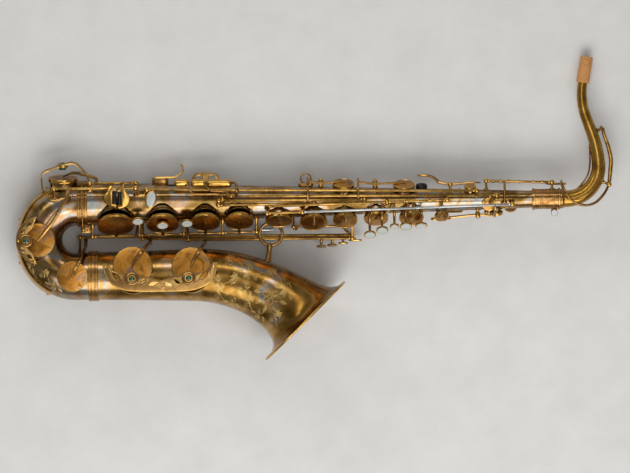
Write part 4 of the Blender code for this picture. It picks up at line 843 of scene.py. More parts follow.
# %% Key builder
class Key(Piece):
    """One key, built closed in the frame of a panel on the body tube, or in the horn's own."""

    def __init__(self, name, panel, line, turn=0.0, across=False):
        self.pivot, self.across = mm(*line), across
        hinge = Matrix.Translation(self.pivot) @ Matrix.Rotation(turn, 4, "Y" if across else "X")
        super().__init__(name + "_brass", name, (name,), panel @ hinge @ Matrix.Translation(-self.pivot))

    def tube(self, start, end, finish=None):
        """The hinge tube, with a turned collar at each end, between two places along its line."""
        first = self.pivot.copy()
        first[1 if self.across else 0] = start * MM
        length, r = (end - start) * MM, HINGE_RADIUS
        collar = min(0.0022, length / 4)
        half = [(0, 0), (r - 0.0003, 0), (r + 0.0002, 0.0003), (r + 0.0002, collar),
                (r - 0.0004, collar + 0.0004), (r - 0.0004, collar + 0.0009), (r - 0.0001, collar + 0.0013)]
        profile = half + [(radius, length - height) for radius, height in reversed(half)]
        frame = facing(first, (0, 1, 0) if self.across else (1, 0, 0), (0, 0, 1))
        self.lathe(profile, frame, 20, finish or "rod")

    def between(self, start, end):
        """The hinge tube between the balls of two posts."""
        self.tube(start + POST_END, end - POST_END)

    def cup(self, frame, diameter, finish="cup"):
        """A pad cup that stands in a frame, with its pad and the disc riveted on it."""
        r, top = diameter * MM / 2, CUP_SKIRT
        dome = [(0, top + CUP_DOME), (0.3 * r, top + 0.95 * CUP_DOME), (0.55 * r, top + 0.72 * CUP_DOME),
                (0.74 * r, top + 0.34 * CUP_DOME), (0.86 * r, top + 0.06 * CUP_DOME),
                (r - 0.0015, top - 0.0003), (r - 0.0015, top - CUP_WALL), (0, top - CUP_WALL)]
        self.lathe(dome, frame, 72, finish)
        rim = [(r - 0.0017, top - 0.0002), (r - 0.0013, top + 0.0002), (r - 0.0006, top + 0.0001),
               (r - 0.0001, top - 0.0006), (r, top - 0.0014), (r, 0.0006), (r - 0.0002, 0.0001),
               (r - 0.0006, 0), (r - CUP_WALL, 0.0002), (r - CUP_WALL, top - CUP_WALL),
               (r - 0.0017, top - CUP_WALL)]
        self.lathe(rim, frame, 72, "touch", closed=True)
        pad = r - CUP_WALL - 0.0001
        self.lathe([(0, top - CUP_WALL - 0.0001), (pad, top - CUP_WALL - 0.0001), (pad, 0.0007),
                    (pad - 0.0006, -0.0001), (pad - 0.0016, -0.0004), (0, -0.0004)], frame, 48, "pad")
        self.lathe([(0, -0.0003), (0.46 * r, -0.0003), (0.47 * r, -0.0004), (0.4 * r, -0.0006),
                    (0.1 * r, -0.0007), (0, -0.0007)], frame, 32, "steel")

    def arm(self, *points, thick=0.0023):
        """A filed bar through points in millimetres, a fifth thinner at its far end."""
        last = len(points) - 1
        radii = [thick * (1 - 0.2 * i / last) for i in range(last + 1)]
        self.sweep([mm(*point) for point in points], radii, steps=7, flat=0.92)

    def rib(self, *points, thick=0.0027):
        """An arm filed to a ridge, which lies on its cup and runs out to a point in the middle of it."""
        last = len(points) - 1
        radii = [thick * (1 - 0.15 * i / (last - 1)) for i in range(last)] + [0.3 * thick]
        self.sweep([mm(*point) for point in points], radii, sides=6, steps=7, flat=0.75, up=(0, 0, 1))

    def seat(self, place, radius=PEARL_RADIUS):
        """A turned cup for a finger pearl, and the slightly hollow pearl in it."""
        rim, floor = radius + CLEARANCE + 0.0008, 0.0014
        radius = 0.92 * radius
        inner = radius + 0.0001
        frame = Matrix.Translation(mm(*place))
        self.lathe([(0, floor), (inner, floor), (inner, 2 * floor - 0.0002),
                    (inner + 0.0004, 2 * floor + 0.0001), (rim - 0.0002, 2 * floor),
                    (rim, 2 * floor - 0.0003), (0.96 * rim, 0.0006), (0.86 * rim, 0), (0, 0)],
                   frame, 48, "touch")
        pearl_name = self.nodes[0].replace("_key", "_pearl")
        pearl = Piece(pearl_name + "_shell", self.body, (pearl_name,), self.place, "pearl", "pearl")
        base, h = floor + 0.0001, PEARL_HEIGHT
        pearl.lathe([(0, base + 0.62 * h), (0.35 * radius, base + 0.66 * h), (0.65 * radius, base + 0.8 * h),
                     (0.82 * radius, base + 0.88 * h), (0.93 * radius, base + 0.86 * h),
                     (radius, base + 0.72 * h), (radius, base), (0, base)], frame, 48)
        pearl.done()


print("limbs of a key:", ", ".join(name for name in vars(Key) if name[0] != "_"))


# %% Places on the body tube, and outlines of touches
def swing(station, degrees, above):
    """A point in a panel's frame, swung round the body tube by degrees, at a height above it."""
    reach = body_radius(station * MM) / MM
    angle = radians(degrees)
    return (station, (reach + above) * sin(angle), (reach + above) * cos(angle) - reach)


def swung(station, degrees, above):
    """A frame at such a point that faces out of the tube."""
    angle = radians(degrees)
    return facing(mm(*swing(station, degrees, above)), (0, sin(angle), cos(angle)))


def seat_frame(station, degrees=0.0):
    """The frame of a closed cup's foot on the body tube, just above its chimney."""
    return swung(station, degrees, (CHIMNEY_RISE + CUP_SEAT) / MM)


def seated(frame):
    """The same for a cup over any tone hole's frame."""
    return frame @ Matrix.Translation((0, 0, CHIMNEY_RISE + CUP_SEAT))


def arc(centre, radius, start, end, count):
    """Points of an arc in the XY plane."""
    steps = [start + (end - start) * i / (count - 1) for i in range(count)]
    return [(centre[0] + radius * cos(a), centre[1] + radius * sin(a)) for a in steps]


def pill(length, width):
    """The outline of a plate with round ends, its length along X."""
    half, end = (length - width) / 2, width / 2
    return arc((half, 0), end, -pi / 2, pi / 2, 17) + arc((-half, 0), end, pi / 2, 3 * pi / 2, 17)


foot = seat_frame(LOWER_STACK["d"][0]).translation
print("foot of the D cup in its panel, mm:", [round(x / MM, 1) for x in foot])

# %% [markdown]
# The lower stack is hinged in front of its cups, the upper stack behind them on two lines, one above the
# other: the steel one carries G and front F. Each pearl sits at the end of an arm of its own.

# %% Lower stack
lower = panel_matrix(LOWER_ANGLE)
# The hinge line across and above the panel, the stations of its posts, and the pearls along and across
across, height = -32.6, 4.4
stations = [14, 82, 146.5, 203, 252]
pearls = {"d": (80.5, 20), "e": (116, 7), "f": (151.5, 10)}
for name, start, end in zip(LOWER_STACK, stations, stations[1:]):
    station, diameter = LOWER_STACK[name]
    key = Key(name + "_key", lower, (start, across, height), STACK_OPENING)
    key.between(start, end)
    key.cup(seat_frame(station), diameter)
    key.rib((station, across, height), (station, across + 4, 9), (station, -20, CUP_TOP + 1.2),
            (station, -9, CUP_TOP + 0.4), (station, 4, CUP_TOP - 0.2))
    if name in pearls:
        x, y = pearls[name]
        foot = min(max(x, start + POST_END + 3), end - POST_END - 3)
        key.arm((foot, across, height), (foot, across + 4, 9), (x, y - 12, 12), (x, y, 11.4))
        key.seat((x, y, 12))
    key.done()
rail_posts(lower, stations, height, across)

# %% Upper stack
upper = panel_matrix(UPPER_ANGLE)
# Places across and above the panel of the brass and the steel hinge line
GOLD, STEEL = (30, -2), (30, 9)


def stack_key(name, line, start, end, opening, finish=None):
    """A key of the upper stack with its hinge tube."""
    key = Key(name + "_key", upper, (start, *line), -opening)
    key.tube(start, end, finish)
    return key


def stack_cup(key, name, foot, line):
    """Its cup, and the rib to it from a foot on the hinge tube."""
    station, diameter = UPPER_STACK[name]
    y, z = line
    key.cup(seat_frame(station), diameter)
    key.rib((foot, y, z), (foot, y - 6, z + 3), ((foot + station) / 2, 15, CUP_TOP - 0.2),
            (station, 5, CUP_TOP + 0.3), (station, -4, CUP_TOP - 0.2))


def stack_pearl(key, foot, line, x, y, z, radius=PEARL_RADIUS):
    """Its pearl, and the arm to that."""
    key.arm((foot, *line), (foot, line[0] - 6.5, line[1] + 3), (x, line[0] - 9, z - 6), (x, 8, z - 0.6),
            (x, y, z - 0.6))
    key.seat((x, y, z), radius)


gap = CLEARANCE / MM
# Key, hinge line, ends of its tube, foot of the cup's arm, opening, and the pearl's foot, line and place
for name, line, start, end, cup_foot, opening, pearl in (
        ("gsharp", STEEL, 268 + POST_END, 319 - POST_END, 285, 0.0, None),
        ("g", STEEL, 319 + POST_END, 486, 335, STACK_OPENING, (419, STEEL, 416, -8, 25)),
        ("a", GOLD, 268 + POST_END, 442 - POST_END, 381, STACK_OPENING, (436, GOLD, 434, -5, 21)),
        ("bis", GOLD, 442 + POST_END, 469, 448, radians(6), (452, GOLD, 452, -4, 17, 0.0058)),
        ("b", GOLD, 469 + gap, 504, 480, STACK_OPENING, (472, GOLD, 468.6, -3, 17)),
        ("c", GOLD, 504 + gap, 529 - POST_END, 521, STACK_OPENING, None)):
    key = stack_key(name, line, start, end, opening, "steel" if name == "g" else None)
    stack_cup(key, name, cup_foot, line)
    if pearl:
        stack_pearl(key, *pearl)
    if name == "g":
        key.slot = "steel"
    key.done()
front = stack_key("front_f", STEEL, 486 + gap, 623 - POST_END, 0.0, "steel")
stack_pearl(front, 492, STEEL, 491, -3, 20)
front.arm((598, *STEEL), (598, 24, 15), (598, 12, 16), (598, 2, 14))
front.done()
for place in ((268, *STEEL), (319, *STEEL), (623, *STEEL), (442, *GOLD), (529, *GOLD)):
    body_post(upper @ mm(*place))

# %% [markdown]
# Palm and side keys rock on short hinges across the tube. Palm touches are pear-shaped drops under the
# left palm. The side keys are pushed open from below by long levers, whose touches are rounded rolls for
# the side of the right hand.

# %% Palm keys
# Heights above the tube of the long rails, and of wires that pass over them
SIDE_RAIL, HIGH_E_RAIL, HIGH_FSHARP_RAIL, OVER_RAILS = 8, 10, 13.5, 21.5


def rocker(name, panel, hinge, station, diameter, tail, height=8.0):
    """A key that rocks on a short hinge across the tube, with its cup up the tube from it."""
    key = Key(name, panel, (hinge, 0, height), across=True)
    half = 5
    key.tube(-half, half)
    if diameter:
        key.cup(seat_frame(station), diameter)
    key.rib((tail, 0, height + 3), (hinge, 0, height), (station - 9, 0, CUP_TOP + 0.2),
            (station + 2, 0, CUP_TOP - 0.2))
    for side in (half + POST_END, -half - POST_END):
        body_post(panel @ mm(hinge, side, height))
    return key


for name, (degrees, hinge, station, tail) in PALM_KEYS.items():
    key = rocker(name, panel_matrix(degrees), hinge, station, PALM_CUP, tail)
    key.plate(pill(0.03, 0.012), 0.003, Matrix.Translation(mm(tail - 6, 0, 11.2)), "touch", 0.4, 0.0012)
    key.done()


# %% Side keys and their levers
SIDE_START, ROLL_RADIUS, SIDE_ROLL, LONG_ROLL, ROLL_HEIGHT = 198, 0.006, 0.0225, 0.0365, 13


def roll(key, frame, length):
    """A full rounded touch for the side of the right hand, its length along X of a frame."""
    r, half = ROLL_RADIUS, length / 2
    end = [(0, half), (0.45 * r, half - 0.0003), (0.8 * r, half - 0.0013), (0.96 * r, half - 0.003),
           (r, half - 0.005)]
    profile = end + [(radius, -along) for radius, along in reversed(end)]
    key.lathe(profile, frame @ X_AXIS, 40, "touch")


# Wires from the levers' tubes over the other rails to their touches: station, degrees round, height
SIDE_WIRES = {"bb": ((204, 0, 8), (204, 6, 17), (203, 15, 22.5), (196, 21, 22.5), (164, 21, 22.5),
                     (157, 26, 22.5), (154, 34, 21.5), (152, 42, 17), (149, 48, 13.5)),
              "c": ((212, 0, 8), (212, 5, 17), (211, 11, 22.5), (205, 15, 22.5), (188, 16, 22.5),
                    (181, 22, 22.5), (178, 30, 20), (176, 36, 16), (172, 40, 13.5))}
for note, (degrees, hinge, station, bar, touch, clear) in SIDE_KEYS.items():
    key = rocker("side_" + note + "_key", panel_matrix(SIDE_CUP_ANGLE), hinge, station, SIDE_CUP, bar)
    key.sweep([mm(bar, y, 11) for y in (-10, -3, 3, 10)], 0.0016)
    key.done()
    rail = panel_matrix(degrees)
    round_to_bar, round_to_touch = 137 - degrees, 135 - degrees
    lever = Key("side_" + note + "_lever", rail, (202, 0, SIDE_RAIL))
    lever.between(SIDE_START, bar + 9)
    lever.arm(swing(bar, 0, SIDE_RAIL), swing(bar, *clear), swing(bar, round_to_bar / 2, OVER_RAILS),
              swing(bar, round_to_bar - 4, OVER_RAILS), swing(bar, round_to_bar, 17), thick=0.0018)
    lever.arm(*[swing(*point) for point in SIDE_WIRES[note]], thick=0.0017)
    roll(lever, swung(touch, round_to_touch, ROLL_HEIGHT), SIDE_ROLL)
    lever.done()
    rail_posts(rail, (SIDE_START, bar + 9), SIDE_RAIL)

# %% [markdown]
# High E and high F sharp are touched beside the right hand but have their cups near the neck, so each is one
# long hinge tube with an arm at both ends. The octave arm is rocked by a lever under the left thumb. Its pad
# closes a small hole, and its far end reaches past the receiver to lift the key on the neck.

# %% High E and high F sharp keys
# Stations of the end posts, and how far the oval touch is turned from the tube
HIGH_E_ENDS, HIGH_FSHARP_ENDS, OVAL_TURN = (212, 601), (94, 572), 1.34
rail = panel_matrix(HIGH_E_ANGLE)
key = Key("high_e_key", rail, (HIGH_E_ENDS[0], 0, HIGH_E_RAIL))
key.between(*HIGH_E_ENDS)
key.cup(seat_frame(*HIGH_E_CUP[:2]), HIGH_E_CUP[2])
key.rib(swing(592, 0, HIGH_E_RAIL), swing(592, -14, HIGH_E_RAIL + 1), swing(591, -24, CUP_TOP + 0.4),
        swing(590, -34, CUP_TOP - 0.2))
touch = (199, 31, ROLL_HEIGHT)
key.arm(swing(224, 0, HIGH_E_RAIL), swing(224, 8, OVER_RAILS), swing(222, 22, OVER_RAILS), swing(212, 31, 15),
        swing(*touch))
roll(key, swung(*touch), LONG_ROLL)
key.done()
rail_posts(rail, HIGH_E_ENDS, HIGH_E_RAIL)


def ellipse(length, width):
    """The outline of an oval touch."""
    return [(length / 2 * cos(a), width / 2 * sin(a)) for a in round_angles(48)]


rail = panel_matrix(HIGH_FSHARP_ANGLE)
key = Key("high_fsharp_key", rail, (HIGH_FSHARP_ENDS[0], 0, HIGH_FSHARP_RAIL))
key.between(*HIGH_FSHARP_ENDS)
key.cup(seat_frame(*HIGH_FSHARP_CUP[:2]), HIGH_FSHARP_CUP[2])
key.rib(swing(565, 0, HIGH_FSHARP_RAIL), swing(565, 16, 13), swing(564, 27, CUP_TOP + 0.6),
        swing(563, 38, CUP_TOP - 0.2))
key.arm(swing(103, 0, HIGH_FSHARP_RAIL), swing(102, -6, 11.2), swing(100, -14, 11), swing(100, -20, 11.5))
touch_frame = swung(100, -20, 13) @ Matrix.Rotation(OVAL_TURN, 4, "Z")
key.plate(ellipse(0.0265, 0.0155), 0.0022, touch_frame, "touch", 0.4)
oval = Piece("high_fsharp_pearl_shell", "high_fsharp_key", ("high_fsharp_pearl",),
             key.place, "pearl", "pearl")
oval.plate(ellipse(0.0228, 0.0123), 0.0016, touch_frame @ Matrix.Translation(mm(0, 0, 2.1)),
           None, 0.4, 0.0004)
key.done()
oval.done()
rail_posts(rail, HIGH_FSHARP_ENDS, HIGH_FSHARP_RAIL)

# %% Octave lever and arm
back = panel_matrix(OCTAVE_ANGLE)
lever = rocker("octave_lever", back, hinge=534, station=576, diameter=0, tail=516, height=7)
lever.arm((518, 0, 9.8), (510, 0, 16), (500, 0, 19), (492, 0, 18.5), thick=0.0022)
lever.plate(pill(0.02, 0.015), 0.0022, Matrix.Translation(mm(496, 0, 19)), "touch", 0.4, 0.0008)
lever.done()
OCTAVE_START, OCTAVE_END, OCTAVE_RAIL = 586.5, 682, 12.6
arm = Key("octave_arm", back, (OCTAVE_START, 0, OCTAVE_RAIL))
arm.between(OCTAVE_START, OCTAVE_END)
# The arm goes round the tube and comes down on it by 0.035 mm for each degree
arm.arm(*[swing(OCTAVE_CUP[0], d, OCTAVE_RAIL - 0.035 * abs(d)) for d in (0, -25, -50, -75, -98, -115)],
        thick=0.0019)
arm.cup(seat_frame(*OCTAVE_CUP[:2]), OCTAVE_CUP[2])
# Turned rings on the hinge tube
for station in (597, 607, 619, 634, 655, 668):
    ring = facing(mm(station, 0, OCTAVE_RAIL), (1, 0, 0), (0, 0, 1))
    arm.lathe([(0.0023, -0.0012), (0.0029, -0.0009), (0.0029, 0.0009), (0.0023, 0.0012)], ring, 24,
              closed=True)
arm.arm((672, 0, OCTAVE_RAIL), (676, 5.2, 10.5), (686, 5.2, 10.2), (694, 2, 10.6), (702, 0, 10.5),
        thick=0.002)
arm.done()
body_post(back @ mm(OCTAVE_START, 0, OCTAVE_RAIL))
ball = back @ mm(OCTAVE_END, 0, OCTAVE_RAIL)
POSTS.append((ball, Vector((ball.x, 0, 0)), RECEIVER_RADIUS))

# %% [markdown]
# The lowest notes are closed by the largest cups. Low Bb, B and C sharp lie on bell and bow and are worked
# by the left little finger over long tubes; low C and Eb lie on the bow, with half-moon touches and black
# rollers between them, so that the right little finger can slide from one to the other.

# %% Bell keys and the left hand table
LAST_POST, TABLE_TOUCH = 391, 0.0026
# Key, station and cup, frame of its hole, hinge line, and stations of its first post, its rib and its touch
for name, (x, diameter), where, (y, z), start, foot, touch, opening in (
        ("low_bb_key", LOW_BB, bell_frame(LOW_BB[0] * MM), (-54, -16), 152, 177, 346, BELL_KEY_OPENING),
        ("low_b_key", LOW_B, bell_frame(LOW_B[0] * MM), (-52, -24.5), 86, 97, 362, BELL_KEY_OPENING),
        ("low_csharp_key", LOW_CSHARP, CSHARP_FRAME, (-49, -33), -5.6, 3, 378, 0.0)):
    key = Key(name, Matrix(), (start, y, z), -opening)
    key.between(start, LAST_POST)
    key.cup(seated(where), diameter, "bell_cup")
    top = (seated(where).translation.z + CUP_SKIRT) / MM
    middle = where.translation.y / MM
    key.rib((foot, y, z), (foot, -62, z / 2), (foot - 1, -66, 15), ((foot + x) / 2 + 2, -83, top + 3),
            (x + 3, middle + 8, top + 2), (x - 1, middle - 3, top + 1.5), thick=0.003)
    reach = -41 if opening else -18
    key.arm((touch, y, z), (touch, -60, z - 3), (touch, -61, reach))
    key.plate(pill(0.015, 0.013), TABLE_TOUCH, facing(mm(touch, -61, reach), (0, -1, 0)),
              "touch", 0.4, 0.0006)
    key.done()
    body_post(mm(LAST_POST, y, z))
    if start > 0:
        body_post(mm(start, y, z))
    else:
        POSTS.append((mm(start, y, z), Vector((start * MM, BELL_AXIS_Y, 0)), BOW_END_RADIUS))

y, z = -36, -28
start, end = 306, 384
key = Key("gsharp_lever", Matrix(), (start, y, z))
key.between(start, end)
key.arm((312, y, z), (310, -40, -16), (307, -40, -4))
key.arm((377, y, z), (382, -42, -39), (394, -54, -43), (396, -57, -42))
key.plate(pill(0.02, 0.012), TABLE_TOUCH, facing(mm(396, -57, -42), (0, -1, 0)), "touch", 0.4, 0.0006)
key.done()
rail_posts(Matrix(), (start, end), z, y)


# %% Low C and low Eb keys
def half_moon(side):
    """A little-finger touch: half a drop, pointed where its arm comes in, with a gap for a roller."""
    gap = [(8.6, -9.6), (2.9, -9.6), (2.9, 9.6), (8.6, 9.6), (8.6, 11.2), (5.4, 12.6), (3.2, 14.4),
           (2.2, 16.5)]
    tip = [(1.2, 17.2), (-0.8, 16.6), (-1.8, 14.4), (-3.4, 12)]
    bulge = [(8.6 + 17.6 * cos(a), -1.5 + 13.6 * sin(a)) for a in (radians(135 + 5 * i) for i in range(28))]
    return [(x * side * MM, y * MM) for x, y in gap + tip + bulge]


LEVEL, LOW_C_OPENING, ROLLER_RADIUS, ROLLER_HALF = 49, radians(9), 0.0028, 0.0095
MOON_THICKNESS = 0.003
# First posts of the two hinges, in millimetres, and the station of their last ones
LOW_C_HINGE, LOW_EB_HINGE, LOW_END = (-40, 22, 42), (12, 29.5, 35), 78


def roller(name, place, station):
    """A turned roller with rounded ends, in the gap of its touch."""
    piece = Piece(name + "_resin", name, (name,), place, "roller", "black_plastic")
    r, half = ROLLER_RADIUS, ROLLER_HALF - CLEARANCE
    profile = [(0, -half), (r - 0.0008, -half), (r - 0.0001, -half + 0.0008), (r, -half + 0.0016)]
    profile += [(radius, -h) for radius, h in reversed(profile)]
    piece.lathe(profile, facing(mm(station, 7.5, LEVEL), (0, 1, 0), (0, 0, 1)), 32)
    piece.done()


key = Key("low_c_key", Matrix(), LOW_C_HINGE, -LOW_C_OPENING)
key.between(LOW_C_HINGE[0], LOW_END)
key.cup(seated(LOW_C_FRAME), LOW_C_CUP, "bell_cup")
top = (seated(LOW_C_FRAME).translation.z + CUP_SKIRT) / MM
centre = LOW_C_FRAME.translation / MM
key.rib((-19, 22, 42), (-22, 6, 50), (-40, -25, top + 7), (centre.x + 8, centre.y + 9, top + 2.2),
        (centre.x - 1, centre.y - 2, top + 1.5), thick=0.003)
key.arm((42, 22, 42), (42, 20, 46), (42, 14, LEVEL - 0.5))
key.plate(half_moon(1), MOON_THICKNESS, Matrix.Translation(mm(42, 7.5, LEVEL)), "touch", 0.3)
low_c_place = key.place
key.done()
key = Key("low_eb_key", Matrix(), LOW_EB_HINGE)
key.between(LOW_EB_HINGE[0], LOW_END)
key.cup(seated(EB_FRAME), LOW_EB_CUP)
top = seated(EB_FRAME) @ Vector((0, 0, CUP_SKIRT + 0.0013)) / MM
key.rib((21, 29.5, 35), (20, 37, 33), (4, 42, 27), (-14, 45, 17), top)
key.arm((61, 29.5, 35), (61, 30, 44), (61, 24, LEVEL - 1), (61, 14, LEVEL - 0.5))
key.plate(half_moon(-1), MOON_THICKNESS, Matrix.Translation(mm(61, 7.5, LEVEL)), "touch", 0.3)
key.done()
roller("low_c_roller", low_c_place, 48)
roller("low_eb_roller", Matrix(), 55)
for place in ((LOW_END, *LOW_C_HINGE[1:]), LOW_EB_HINGE, (LOW_END, *LOW_EB_HINGE[1:])):
    body_post(mm(*place))
# The first post of low C stands on the bow
post_turn = bow_turn(LOW_C_HINGE[0] * MM)
POSTS.append((mm(*LOW_C_HINGE), bow_point(post_turn), bow_radius(post_turn)))
print("posts in all:", len(POSTS))

# %% [markdown]
# ## Posts
#
# Every hinge turns between ball-headed posts, turned from rod and brazed to the tubes. They are all alike
# but for their height, so Geometry Nodes set one ball, one stem and one foot on a point for each, turned
# to where the tube faces and stretched to the height.

# %% Copies on points
def stand_tree():
    """A template set on every point, turned to its out direction and sized by its size."""
    tree, given = node_tree("stand_on_points", [("Template", "Object"), ("Material", "Material")])
    out, size = [add_node(tree, "GeometryNodeInputNamedAttribute",
                          {"data_type": "FLOAT_VECTOR", "Name": name}).outputs["Attribute"]
                 for name in ("out", "size")]
    turn = add_node(tree, "FunctionNodeAlignRotationToVector", {"axis": "Z"}, {"Vector": out})
    shape = add_node(tree, "GeometryNodeObjectInfo", {}, {"Object": given["Template"]})
    copies = add_node(tree, "GeometryNodeInstanceOnPoints", {},
                      {"Points": given["Geometry"], "Instance": shape.outputs["Geometry"],
                       "Rotation": turn.outputs["Rotation"], "Scale": size})
    end_tree(tree, copies.outputs["Instances"], given["Material"])
    return tree


STAND = stand_tree()


def template(name, profile, sides=24):
    """A turned shape to copy."""
    piece = Piece(name, finish="key")
    piece.lathe(profile, Matrix(), sides)
    return piece.blank()


def stand(shape, places, outs, finish, sizes=None):
    """Copies of a template on points, as a plain mesh; the template goes."""
    points = points_object(places, out=outs, size=sizes or [Vector((1, 1, 1))] * len(places))
    mesh = grow(STAND, points, Template=shape, Material=FINISH[finish])
    bpy.data.objects.remove(shape)
    mesh.materials.clear()
    mesh.materials.append(FINISH[finish])
    return mesh


def gathered(name, meshes, body="horn"):
    """One piece of several plain meshes, set down on its body."""
    piece = bmesh.new()
    finishes = []
    for mesh in meshes:
        for face in mesh.polygons:
            face.material_index = len(finishes)
        finishes.append(mesh.materials[0])
        piece.from_mesh(mesh)
    piece.transform(HORN)
    mesh = bpy.data.meshes.new(name)
    piece.to_mesh(mesh)
    piece.free()
    for finish in finishes:
        mesh.materials.append(finish)
    obj = linked(name, mesh)
    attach(obj, body)
    print(name, "on", body, "with", len(mesh.polygons), "faces")


# %% Key posts
def ball_profile(radius, steps):
    """The profile of a ball."""
    return [(radius * sin(a), radius * cos(a)) for a in (pi * i / steps for i in range(steps + 1))]


def post_meshes(posts):
    """Balls, stems and feet for posts of (ball, tube centre, tube radius)."""
    outs = [(ball - centre).normalized() for ball, centre, _ in posts]
    bases = [centre + out * radius for out, (_, centre, radius) in zip(outs, posts)]
    heights = [(ball - base).length for base, (ball, _, _) in zip(bases, posts)]
    s = POST_STEM
    tall = [Vector((1, 1, height)) for height in heights]
    stem = [(0, 1), (s, 1), (s * 0.8, 0.8), (s * 0.8, 0.4), (s * 1.15, 0.14), (s * 1.7, 0), (0, 0)]
    foot = [(0, 0.0008), (0.0036, 0.0007), (0.0044, 0.0002), (0.0045, -0.0014), (0, -0.0014)]
    return [stand(template("ball", ball_profile(POST_BALL, 14)), [post[0] for post in posts], outs, "touch"),
            stand(template("stem", stem), bases, outs, "rod", tall),
            stand(template("foot", foot), bases, outs, "rod")]


gathered("key_posts_brass", post_meshes(POSTS))

# %% [markdown]
# ## Ferrules, guards and fittings
#
# Turned rings cover the joints of the bow: the one at the body has a row of beads between two bands and a
# clamp lug, the one at the bell is a stack of thin rings. Each is turned from the steps of its profile, and
# the beads are copies on points, as the posts are.

# %% Ferrules
FERRULE_WIDTH, FERRULE_THICKNESS, FERRULE_SIDES = 0.015, 0.0022, 144
BEAD_COUNT, BEAD_RADIUS = 84, 0.0011


def stepped_ring(inner, levels):
    """A closed ring profile from (place along the axis, height) levels with softened steps."""
    soft = 0.0002
    top = []
    for (start, low), (end, _) in zip(levels, levels[1:]):
        top += [(inner + low - soft, start), (inner + low, start + soft), (inner + low, end - soft),
                (inner + low - soft, end)]
    return [(inner, levels[0][0])] + top + [(inner, levels[-1][0])]


half, t = FERRULE_WIDTH / 2, FERRULE_THICKNESS
inner = BODY_FOOT_RADIUS + CLEARANCE
ferrule = Piece("body_bow_ferrule_brass", "horn", ("body_bow_ferrule",))
steps = [(-half, 0.55 * t), (-half + 0.001, t), (-half + 0.0034, 0.6 * t), (-half + 0.0046, 0.9 * t),
         (-0.0016, 0.35 * t), (0.0016, 0.9 * t), (half - 0.0046, 0.6 * t), (half - 0.0034, t),
         (half - 0.001, 0.55 * t), (half, 0)]
ferrule.lathe(stepped_ring(inner, steps), X_AXIS, FERRULE_SIDES, closed=True)
lug = ((-3, -42), (4, -42.6), (11.5, -42), (12, -38), (11.5, -33), (-3, -33), (-3.5, -38))
ferrule.plate([(x * MM, y * MM) for x, y in lug], 0.006, Matrix.Translation(mm(0, 0, 4)), edge=0.2)
SCREWS += [(mm(x, -38, 7), Vector((0, 0, 1))) for x in (0.5, 8)]
ferrule.done()
rows = [Vector((0, cos(a), sin(a))) for a in round_angles(BEAD_COUNT)]
beads = stand(template("bead", ball_profile(BEAD_RADIUS, 6), 10), [(inner + 0.5 * t) * row for row in rows],
              rows, "touch")
gathered("ferrule_beads_brass", [beads])

inner = BOW_END_RADIUS + CLEARANCE
ferrule = Piece("bow_bell_ferrule_brass", "horn", ("bow_bell_ferrule",),
                Matrix.Translation((BELL_START, BELL_AXIS_Y, 0)))
steps = [(-half, 0.4 * t), (-half + 0.0012, t), (-half + 0.0036, 0.5 * t), (-half + 0.0056, 0.85 * t),
         (half - 0.0056, 0.5 * t), (half - 0.0036, t), (half - 0.0012, 0.4 * t), (half, 0)]
ferrule.lathe(stepped_ring(inner, steps), X_AXIS, FERRULE_SIDES, closed=True)
ferrule.done()

# %% [markdown]
# The guards are cut from sheet and pierced with leaf-shaped holes, as with a piercing saw. They stand on
# turned legs. Over each cup is a ringed boss with a felt bumper below, where the cup comes to rest, and a
# green stone in four claws on top.

# %% Lines and legs of guards
GUARD_LEVEL, GUARD_SHEET, BOSS_RADIUS, SAW_REACH = 0.066, 0.0022, 0.01, 0.006


def smooth_line(path, steps=6):
    """A smooth line in the XY plane through points in millimetres."""
    return smooth_path([mm(x, y, 0) for x, y in path], [0] * len(path), steps)[0]


def ribbon(path, width):
    """The outline of a strip of one width along a smooth line."""
    points = smooth_line(path)
    left, right = [], []
    for i, point in enumerate(points):
        way = (points[min(i + 1, len(points) - 1)] - points[max(i - 1, 0)]).normalized()
        side = Vector((-way.y, way.x, 0)) * width / 2
        left.append((point + side)[:2])
        right.append((point - side)[:2])
    return left + right[::-1]


def boss(piece, x, y):
    """A ringed boss with a stone in four claws on top and a felt bumper below."""
    frame, r = Matrix.Translation((x, y, GUARD_LEVEL)), BOSS_RADIUS
    piece.lathe([(0, 0.0014), (0.7 * r, 0.0014), (0.74 * r, 0.0024), (0.82 * r, 0.0028), (0.92 * r, 0.0024),
                 (r, 0.0012), (r, -0.0012), (0.92 * r, -0.0024), (0, -0.0024)], frame, 56)
    piece.lathe([(0, 0.002), (0.4 * r, 0.002), (0.44 * r, 0.0032), (0.54 * r, 0.0032), (0.58 * r, 0.002),
                 (0.6 * r, 0.0012), (0, 0.0012)], frame, 48, "touch")
    piece.lathe([(0, 0.0036), (0.16 * r, 0.0035), (0.3 * r, 0.0032), (0.4 * r, 0.0024), (0.4 * r, 0.0018),
                 (0, 0.0018)], frame, 32, "stone")
    for quarter in range(4):
        claw = frame @ Matrix.Rotation(pi / 4 + quarter * pi / 2, 4, "Z")
        piece.sweep([claw @ Vector((0.47 * r, 0, 0.0022)), claw @ Vector((0.42 * r, 0, 0.0032)),
                     claw @ Vector((0.3 * r, 0, 0.0036))], 0.0004, "touch", 8, 4)
    piece.lathe([(0, -0.0022), (0.5 * r, -0.0022), (0.5 * r, -0.005), (0, -0.005)], frame, 32, "green_felt")


def leg(piece, x, y, foot):
    """A turned guard leg from its foot on the tube up to the plate, with a screw head on top."""
    high = GUARD_LEVEL - foot * MM
    piece.lathe([(0, high), (0.0024, high), (0.0021, high - 0.002), (0.0018, 0.5 * high), (0.0022, 0.002),
                 (0.0042, 0.0009), (0.0044, 0), (0, 0)], Matrix.Translation(mm(x, y, foot)), 24)
    SCREWS.append((mm(x, y, GUARD_LEVEL / MM + 1.1), Vector((0, 0, 1))))


